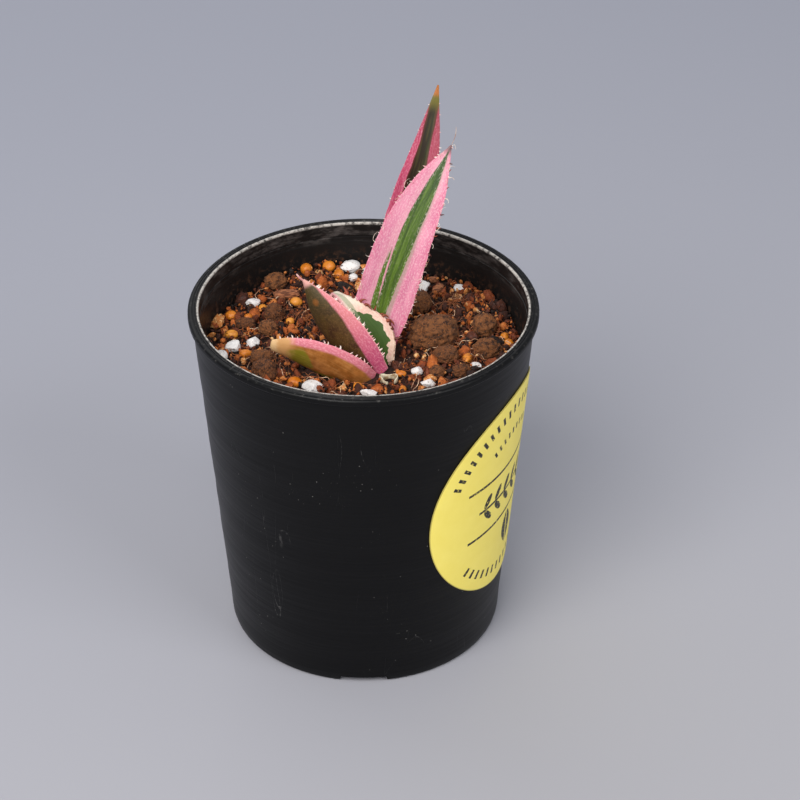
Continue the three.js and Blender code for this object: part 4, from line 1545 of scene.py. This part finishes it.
# %% The dark-striped back leaf
def back_leaf_finish():
    skin = LeafSkin("dark_striped_leaf")
    cloudy = skin.streaks(10, 2, 3)
    pink = skin.mix(cloudy.step(0.35, 0.65), srgb(178, 56, 92), srgb(202, 92, 122))
    pink = skin.mix(skin.share.step(0.62, 0.95) * 0.75, pink, srgb(142, 46, 58))
    pink = skin.dotted(pink, srgb(236, 168, 184), 0.35)
    pink = skin.mix(skin.across.step(0.25, 0.5) * 0.5, pink, srgb(140, 52, 62))
    dark = skin.mix(skin.streaks(9, 0.7, 3).step(0.4, 0.65), srgb(36, 26, 8), srgb(58, 52, 18))
    green = skin.mix(skin.streaks(8, 0.5, 3).step(0.42, 0.6), srgb(40, 50, 14), srgb(64, 74, 30))
    border = skin.mix(skin.inside(skin.middle - 0.25, 0.5, 0.5), srgb(96, 42, 30), dark)
    colour = skin.mix(skin.inside(skin.middle, 0.12, 0.4), pink, border)
    colour = skin.mix(skin.inside(skin.second, 0.5, 0.8) * 0.7, colour, green)
    colour = skin.mix(skin.inside(skin.haze, 0.35, 0.7) * 0.35, colour, srgb(120, 88, 78))
    colour = skin.mix(skin.to_tip.step(7.5, 3.5), colour, srgb(100, 92, 24))
    colour = skin.mix(skin.to_tip.step(3.4, 1.8) * 0.85, colour, srgb(176, 100, 44))
    return skin.leaf_surface(colour, 0.4)


show_leaf("leaf_tall_back", back_leaf_finish())


# %% The cream-edged leaf
def cream_leaf_finish():
    skin = LeafSkin("cream_edged_leaf")
    cloudy = skin.streaks(5, 2, 3)
    cream = skin.mix(cloudy.step(0.35, 0.65), srgb(236, 204, 178), srgb(224, 176, 158))
    cream = skin.mix(skin.share.step(0.5, 0.75), cream, srgb(236, 222, 200))
    cream = skin.dotted(cream, srgb(246, 232, 216), 0.4)
    zigzag = (skin.streaks(1.6, 1.6, 1) - 0.5) * 3.4
    green = skin.mix(skin.streaks(6, 0.6, 3), srgb(44, 74, 18), srgb(74, 100, 36))
    colour = skin.mix((skin.middle + zigzag).step(-0.12, 0.12), cream, green)
    colour = skin.mix(skin.inside(skin.second, 0.25, 0.6) * 0.65, colour, srgb(132, 144, 108))
    blush = skin.edge.step(1.8, 0.3) * skin.across.step(-0.2, -0.6)
    colour = skin.mix(blush * 0.8, colour, srgb(216, 128, 140))
    dry = skin.edge.step(0.5, 0.12) * skin.streaks(1.6, 1.0, 2, 4.0).step(0.46, 0.56)
    colour = skin.mix(dry * 0.8, colour, srgb(126, 62, 40))
    return skin.leaf_surface(colour, 0.45)


show_leaf("leaf_short_cream", cream_leaf_finish())


# %% The olive leaf, seen from its back
def olive_leaf_finish():
    skin = LeafSkin("olive_leaf_back")
    mottle = skin.noise(skin.place, 0.35, 4, 0.6)
    fine = skin.noise(skin.place, 2.4, 3, 0.7)
    body = skin.mix(mottle.step(0.38, 0.62), srgb(60, 32, 8), srgb(80, 54, 16))
    body = skin.mix(skin.share.step(0.45, 0.85) * 0.6, body, srgb(66, 62, 28))
    body = skin.mix(fine.step(0.45, 0.7) * 0.35, body, srgb(140, 104, 66))
    body = skin.mix(skin.inside(skin.haze, 0.6, 0.8) * 0.5, body, srgb(152, 92, 82))
    spot = skin.vector("LENGTH", skin.combine(skin.to_tip - 6.4, skin.side + 0.8), output="Value")
    body = skin.mix(spot.step(1.3, 0.4) * 0.45, body, srgb(168, 96, 30))
    rose = skin.mix(skin.share.step(0.1, 0.6), srgb(184, 72, 108), srgb(204, 116, 120))
    rose = skin.dotted(rose, srgb(232, 160, 172), 0.45)
    colour = skin.mix(skin.inside(skin.middle, 0.35, 0.5), rose, body)
    colour = skin.mix(skin.edge.step(0.35, 0.1) * 0.5, colour, srgb(226, 168, 160))
    colour = skin.mix(skin.to_tip.step(2.6, 1.2), colour, srgb(206, 150, 140))
    return skin.leaf_surface(colour, 0.55, 0.2)


show_leaf("leaf_side_olive", olive_leaf_finish())


# %% The stub with its callused end
def stub_leaf_finish():
    skin = LeafSkin("tan_leaf_back")
    mottle = skin.noise(skin.place, 0.4, 4, 0.6)
    body = skin.mix(mottle.step(0.38, 0.64), srgb(140, 82, 26), srgb(176, 112, 52))
    body = skin.mix(skin.inside(skin.second, 0.6, 1.2) * 0.85, body, srgb(112, 114, 14))
    body = skin.mix(skin.inside(skin.haze, 0.5, 1.4, 3) * 0.85, body, srgb(112, 112, 16))
    body = skin.mix(skin.streaks(6, 0.5, 3).step(0.5, 0.7) * 0.35, body, srgb(190, 140, 84))
    rose = skin.dotted(srgb(206, 112, 126), srgb(236, 170, 176), 0.5)
    colour = skin.mix(skin.inside(skin.middle, 0.35, 0.6), rose, body)
    low_edge = skin.edge.step(1.3, 0.3) * skin.across.step(0.5, 0.8) * skin.share.step(0.5, 0.7)
    colour = skin.mix(low_edge * 0.8, colour, srgb(222, 184, 140))
    callus = skin.to_tip + (mottle - 0.5) * 5
    colour = skin.mix(callus.step(6.4, 3.2), colour, srgb(204, 152, 96))
    colour = skin.mix(callus.step(2.4, 0.8) * 0.8, colour, srgb(226, 188, 138))
    return skin.leaf_surface(colour, 0.5, 0.15)


show_leaf("leaf_stub_front", stub_leaf_finish())

# %% [markdown]
# ## Teeth, curls and spines
# An agave's margin carries teeth, and on this one many have dried to white curls or brown hooks. Each could
# be placed by hand; instead a recipe walks along a margin line, puts a random tooth every so often, points
# it outwards and leans it towards the tip.


# %% Small horns and curls
def horn(length, width, lean, curl=0.0, twist=0.0, steps=5, sides=5):
    """A tapered horn that starts at the origin, stands along Z and leans along X."""
    t = np.linspace(0, 1, steps)
    line = np.stack([
        length * (lean * t**2 + curl * np.sin(4.2 * t + twist) * t),
        length * curl * (np.cos(4.2 * t + twist) - math.cos(twist)) * t,
        length * t * (1 - 0.35 * abs(curl) * t),
    ], -1)
    direction = unit(np.gradient(line, axis=0))
    across = unit(np.cross(direction, (0.1, 1.0, 0.15)))
    other = np.cross(direction, across)
    turns = 2 * np.pi * np.arange(sides) / sides
    thick = width * (1 - t[:-1]) ** 0.7 + 0.01
    ring = np.cos(turns)[:, None] * across[:-1, None] * 1.3 + np.sin(turns)[:, None] * other[:-1, None] * 0.8
    rings = line[:-1, None] + thick[:, None, None] * ring
    return capped(rings, line[0] - direction[0] * width, line[-1])


HOOK_WAYS = ((0.9, 0.1), (0.7, 0.3), (-0.5, 0.25), (1.1, 0.2))
CURL_WAYS = ((0.5, 0), (0.7, 1.6), (-0.6, 0.8), (0.9, 2.9))
TEETH = shape_set("teeth", [horn(1, 0.24, lean) for lean in (0.1, 0.35, 0.6)])
HOOKS = shape_set("hooks", [horn(1, 0.2, lean, curl) for lean, curl in HOOK_WAYS])
CURLS = shape_set("curls", [horn(1, 0.05, 0.4, curl, twist, 9, 4) for curl, twist in CURL_WAYS])


# %% Margin lines
def margin_line(name, side, start, end, lift=0.0, steps=60):
    """Points of one margin of a leaf, with their outward directions, which may lift off the face."""
    blade = Blade(name, np.linspace(start, end, steps))
    edge = blade.point(np.full((steps, 1), side * 0.985), np.zeros((steps, 1)))[:, 0]
    inner = blade.point(np.full((steps, 1), side * 0.7), np.zeros((steps, 1)))[:, 0]
    return edge, unit(unit(edge - inner) + lift * blade.face)


def make_line(name, points, vectors=None, numbers=None):
    """A mesh of one or more lines of points, as ground for a recipe."""
    edges = []
    start = 0
    for line in points:
        edges += [(start + i, start + i + 1) for i in range(len(line) - 1)]
        start += len(line)
    mesh = bpy.data.meshes.new(name)
    mesh.from_pydata((np.concatenate(points) * MM).tolist(), edges, [])
    for label, values in (vectors or {}).items():
        layer = mesh.attributes.new(label, "FLOAT_VECTOR", "POINT")
        layer.data.foreach_set("vector", np.concatenate(values).astype(np.float32).ravel())
    for label, values in (numbers or {}).items():
        layer = mesh.attributes.new(label, "FLOAT", "POINT")
        layer.data.foreach_set("value", np.concatenate(values).astype(np.float32))
    holder = bpy.data.objects.new(name, mesh)
    bpy.context.scene.collection.objects.link(holder)
    return holder


front_edge = margin_line("leaf_tall_front", 1, 0, 1)[0]
print(f"the front leaf's right margin ends {front_edge[-1][2]:.1f} mm over the ground")


# %% The recipe that walks along a margin
def margin_recipe(material):
    recipe = Recipe("margin_teeth", {
        "Shapes": "Collection", "Spacing": "Float", "Smallest": "Float", "Largest": "Float",
        "Keep": "Float", "Loose": "Float", "Seed": "Int",
    })
    line = recipe.add("GeometryNodeMeshToCurve", None, {"Mesh": recipe.given("Geometry")})
    step = {"Curve": line, "Length": recipe.given("Spacing")}
    line = recipe.add("GeometryNodeResampleCurve", {"mode": "LENGTH"}, step)
    outward = recipe.named("outward", "FLOAT_VECTOR")
    tangent = recipe.add("GeometryNodeInputTangent")
    jump = recipe.given("Spacing") * recipe.chance(-0.45, 0.45, 1)
    slide = recipe.add("ShaderNodeVectorMath", {"operation": "SCALE"}, {0: tangent, "Scale": jump})
    line = recipe.add("GeometryNodeSetPosition", None, {"Geometry": line, "Offset": slide})
    upright = recipe.add("FunctionNodeAlignRotationToVector", {"axis": "Z"}, {"Vector": outward})
    forward = {"Rotation": upright, "Vector": tangent}
    turn = recipe.add("FunctionNodeAlignRotationToVector", {"axis": "X", "pivot_axis": "Z"}, forward)
    luck = recipe.chance(0.0, 1.0, 3)
    size = recipe.given("Smallest") + (recipe.given("Largest") - recipe.given("Smallest")) * luck
    kept = recipe.chance(0.0, 1.0, 4) < recipe.given("Keep")
    teeth = recipe.scatter(line, 2, Selection=kept, Rotation=turn, Scale=size)
    sway = recipe.add("ShaderNodeCombineXYZ", None, {
        "X": recipe.chance(-1.0, 1.0, 5) * recipe.given("Loose"),
        "Y": recipe.chance(-1.0, 1.0, 6) * recipe.given("Loose"),
        "Z": recipe.chance(-2.0, 2.0, 7) * recipe.given("Loose"),
    })
    teeth = recipe.add("GeometryNodeRotateInstances", None, {"Instances": teeth, "Rotation": sway})
    recipe.end(recipe.tinted(teeth, 8), material)
    return recipe


def tooth_finish(name, light, dark):
    finish = Finish(name)
    mottle = finish.noise(finish.place, 1.6, 2)
    colour = finish.mix((finish.attribute("tint") * 0.6 + mottle * 0.6).step(0.35, 0.95), light, dark)
    return finish.surface(colour, 0.5, finish.noise(finish.place, 6, 2), 0.03)


pale_teeth = margin_recipe(tooth_finish("pale_teeth", srgb(244, 226, 214), srgb(222, 160, 160)))
white_curls = margin_recipe(tooth_finish("dried_curls", srgb(240, 226, 206), srgb(196, 140, 112)))
brown_hooks = margin_recipe(tooth_finish("dried_hooks", srgb(146, 66, 40), srgb(84, 36, 26)))
print("the recipe's inputs:", list(brown_hooks.sockets))

# %% What grows on each margin
MARGIN_GROWTH = [
    # piece, recipe, shapes, leaf, side, lift, from, to, spacing, smallest, largest, keep, loose
    ("olive_leaf_teeth", pale_teeth, TEETH, "side_olive", -1, 0, 0.1, 0.95, 0.95, 0.5, 1.15, 0.95, 0.2),
    ("stub_leaf_teeth", pale_teeth, TEETH, "stub_front", -1, 0, 0.12, 0.9, 1.5, 0.5, 0.95, 0.9, 0.25),
    ("back_leaf_teeth", pale_teeth, TEETH, "tall_back", -1, 0, 0.35, 0.93, 3.2, 0.3, 0.6, 0.9, 0.4),
    ("back_leaf_flecks", pale_teeth, TEETH, "tall_back", 1, 0, 0.5, 0.95, 2.6, 0.3, 0.8, 0.8, 0.5),
    ("front_leaf_curls_left", white_curls, CURLS, "tall_front", -1, 0.3, 0.3, 0.97, 1.7, 0.6, 1.6, 0.8, 0.8),
    ("front_leaf_curls_right", white_curls, CURLS, "tall_front", 1, 0.5, 0.2, 0.99, 1.8, 0.6, 1.5, 0.8, 0.8),
    ("front_leaf_teeth_left", pale_teeth, TEETH, "tall_front", -1, 0, 0.2, 0.95, 2.1, 0.4, 0.9, 0.8, 0.4),
    ("front_leaf_teeth_right", pale_teeth, TEETH, "tall_front", 1, 0, 0.15, 0.98, 2.3, 0.3, 0.8, 0.65, 0.6),
    ("front_leaf_hooks", brown_hooks, HOOKS, "tall_front", 1, 0.5, 0.12, 0.95, 3.4, 0.5, 1.2, 0.9, 0.6),
    ("cream_leaf_hooks", brown_hooks, HOOKS, "short_cream", 1, 3.0, 0.2, 0.9, 1.5, 1.1, 2.2, 0.95, 0.5),
    ("cream_leaf_teeth", pale_teeth, TEETH, "short_cream", -1, 0, 0.3, 0.9, 1.6, 0.4, 0.9, 0.9, 0.3),
]
for seed, row in enumerate(MARGIN_GROWTH):
    name, recipe, shapes, short_name, side, lift, start, end, spacing, smallest, largest, keep, loose = row
    leaf_name = "leaf_" + short_name
    edge, outward = margin_line(leaf_name, side, start, end, lift)
    ground = make_line(name + "_line", [edge], {"outward": [outward]})
    settings = {
        "Shapes": shapes, "Spacing": spacing * MM, "Smallest": smallest, "Largest": largest, "Keep": keep,
        "Loose": loose, "Seed": seed + 20,
    }
    ride(recipe.grow(ground, name, settings), leaf_name)
    bpy.data.objects.remove(ground)

# %% [markdown]
# ## Threads, roots and fibres
# Fine coir fibres and pale dry roots lie on the soil, one leaf ends in a thread, and another in a hooked
# spine. A hair system could make them, but they are few and each has its own way to lie, so short wandering
# lines are worked out here and a recipe gives them their thickness.


# %% Strands from lines
def strand_recipe(material):
    recipe = Recipe("strands", {"Sides": "Int"})
    line = recipe.add("GeometryNodeMeshToCurve", None, {"Mesh": recipe.given("Geometry")})
    circle = {"Resolution": recipe.given("Sides"), "Radius": 1.0}
    rim = recipe.add("GeometryNodeCurvePrimitiveCircle", None, circle)
    tube = {"Curve": line, "Profile Curve": rim, "Scale": recipe.named("thick"), "Fill Caps": True}
    recipe.end(recipe.add("GeometryNodeCurveToMesh", None, tube), material)
    return recipe


def fibre_finish(name, light, dark):
    finish = Finish(name)
    colour = finish.mix(finish.noise(finish.place, 0.7, 3).step(0.35, 0.65), dark, light)
    return finish.surface(colour, 0.6, finish.noise(finish.place, 5, 2), 0.03)


coir = strand_recipe(fibre_finish("coir_fibre", srgb(176, 104, 58), srgb(92, 46, 26)))
pale_root = strand_recipe(fibre_finish("dry_root", srgb(226, 196, 164), srgb(164, 112, 78)))
print("the recipe's inputs:", list(coir.sockets))


# %% Lines over the bed
FIBRE_LIFT = 0.5
WANDER_STEPS = 16


def wander(x, y, heading, length, draw, arch):
    """A line that strays over the bed, rises in the middle and sinks at its ends."""
    points = []
    for step in range(WANDER_STEPS):
        share = step / (WANDER_STEPS - 1)
        height = float(bed_height(np.array([x]), np.array([y]))[0]) + FIBRE_LIFT
        points.append((x, y, height + arch * math.sin(math.pi * share) * (1 + 0.3 * math.sin(9 * share))))
        heading += draw.uniform(-0.45, 0.45)
        x += math.cos(heading) * length / WANDER_STEPS
        y += math.sin(heading) * length / WANDER_STEPS
    return np.array(points)


def clear_of_wall(lines):
    return [line for line in lines if np.hypot(line[:, 0], line[:, 1]).max() < SOIL_RADIUS - 0.8]


def fibre_lines(count, seed, shortest, longest, arch):
    """Lines strewn over the bed, clear of its rim."""
    draw = np.random.default_rng(seed)
    lines = []
    for _ in range(count):
        bearing = draw.uniform(0, 2 * math.pi)
        far = SOIL_RADIUS * math.sqrt(draw.uniform(0.06, 0.78))
        x, y = far * math.cos(bearing), far * math.sin(bearing)
        lines.append(wander(x, y, draw.uniform(0, 6.28), draw.uniform(shortest, longest), draw, arch))
    return clear_of_wall(lines)


# Bearing in degrees of each tuft, and its share of the bed's radius.
TUFTS = ((2, 0.5), (22, 0.6), (40, 0.72), (-8, 0.66), (60, 0.6), (12, 0.8), (135, 0.5), (200, 0.6))


def tuft_lines(count, seed, shortest, longest):
    """Fibres in tufts that stand up from the bed, most of them on its right side."""
    draw = np.random.default_rng(seed)
    lines = []
    for bearing, share in TUFTS:
        for _ in range(count):
            turn = math.radians(bearing) + draw.normal(0, 0.07)
            far = SOIL_RADIUS * (share + draw.normal(0, 0.04))
            arch = draw.uniform(0.6, 2.6)
            length = draw.uniform(shortest, longest)
            x, y = far * math.cos(turn), far * math.sin(turn)
            lines.append(wander(x, y, draw.uniform(0, 6.28), length, draw, arch))
    return clear_of_wall(lines)


print("the bed carries", len(TUFTS), "tufts")


# %% Fibres and roots as pieces
def tapered(points, thick):
    share = np.linspace(0, 1, len(points))
    return thick * MM * (0.35 + 0.65 * np.sin(np.pi * (0.12 + 0.76 * share)))


def strands(name, recipe, lines, thick, slot, sides=5):
    ground = make_line(name + "_line", lines, None, {"thick": [tapered(line, thick) for line in lines]})
    piece = recipe.grow(ground, name, {"Sides": sides})
    bpy.data.objects.remove(ground)
    piece.data.shade_smooth()
    ride(piece, slot)


strands("coir_fibres", coir, fibre_lines(260, 5, 3, 10, 1.3), 0.08, "soil", 4)
strands("coir_tufts", coir, tuft_lines(34, 4, 3.0, 8.0), 0.06, "soil", 4)
strands("pale_roots", pale_root, fibre_lines(34, 9, 4, 10, 1.6) + tuft_lines(3, 6, 4.0, 9.0), 0.1, "soil")


# %% The thread and the spine
def leaf_tip(name):
    blade = Blade(name, np.array([0.98, 1.0]))
    return blade.centre[-1], blade.direction[-1]


def tip_threads():
    """A fine thread from the front leaf's tip and a hooked spine on the side leaf."""
    share = np.linspace(0, 1, 12)[:, None]
    tip, direction = leaf_tip("leaf_tall_front")
    thread = tip + direction * 0.2 + share * (1.0, 0.6, 4.6) + np.sin(share * 3) * (0.35, 0, 0)
    tip, direction = leaf_tip("leaf_side_olive")
    spine = tip - direction * 0.3 + share * (-2.2, 0.3, 1.0) + share**2 * (0.3, 0, 0.8)
    return [thread], [spine]


thread, spine = tip_threads()
strands("front_leaf_thread", pale_root, thread, 0.07, "leaf_tall_front")
rose_spine = strand_recipe(fibre_finish("rose_spine", srgb(232, 192, 182), srgb(190, 120, 116)))
strands("side_leaf_spine", rose_spine, spine, 0.32, "leaf_side_olive", 8)


# %% [markdown]
# ## The dried husk
# In front of the crown lies one old bud scale, dry and curled. It could be a bent plane with a thickness,
# but as a strip of rings round a curled line it is closed from the start, and its ends taper by one sine.


# %% The dried husk
def make_husk(name="dried_husk_01"):
    """A curled scale: a bent strip that lies open at one side."""
    middle, long_way, half = grain_pose(name)
    sides = 10
    steps = 40
    turns = np.radians(np.linspace(-30, 275, steps))
    turn = 2 * np.pi * np.arange(sides) / sides
    reach = 0.84 + 0.1 * np.sin(3 * turns)
    curl_x = half[0] * reach * np.cos(turns)
    curl_y = half[1] * reach * np.sin(turns)
    ring_middle = np.stack([curl_x, curl_y, 0.25 * np.sin(2 * turns)], -1)
    outward = np.stack([np.cos(turns), np.sin(turns), 0 * turns], -1)
    high = half[2] * (0.75 + 0.2 * np.sin(2.3 * turns + 1))
    taper = np.sin(np.linspace(0.25, np.pi - 0.25, steps)) ** 0.5
    across = 0.26 * taper[:, None, None] * np.cos(turn)[None, :, None] * outward[:, None]
    upward = (high * taper)[:, None, None] * np.sin(turn)[None, :, None] * np.array([0, 0, 1.0])
    rings = ring_middle[:, None] + across + upward
    rings = rings + 0.08 * cloud(rings.reshape(-1, 3), 0.9, 4).reshape(rings.shape[:2] + (1,))
    plan = rings[..., :1] * long_way + rings[..., 1:2] * np.array([-long_way[1], long_way[0]])
    rings = np.concatenate([plan, rings[..., 2:]], -1) + middle + (0, 0, 0.3)
    finish = fibre_finish("dry_scale", srgb(216, 206, 180), srgb(150, 124, 92))
    husk = make_piece("dried_husk", *capped(rings, rings[0].mean(0), rings[-1].mean(0)), finish)
    turn_outward(husk)
    return husk


ride(make_husk(), "dried_husk", "dried_husk_01")


# %% [markdown]
# ## The hidden stem
# The short stem and its roots lie inside the soil, so their CAD shape is good enough. They still get a
# root's bark: pale rings across the root, as noise that is squeezed along the height.


# %% The hidden stem and roots
def stem_finish():
    finish = Finish("pale_root_bark")
    bands = finish.noise(finish.stretch(0.3, 0.3, 1.6), 1, 4)
    colour = finish.mix(bands.step(0.35, 0.65), srgb(146, 112, 70), srgb(206, 182, 138))
    return finish.surface(colour, 0.8, bands, 0.2)


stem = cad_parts["stem_with_roots"]
stem.data.materials.clear()
stem.data.materials.append(stem_finish())
print("stem and roots keep their CAD shape")

# %% [markdown]
# ## The end
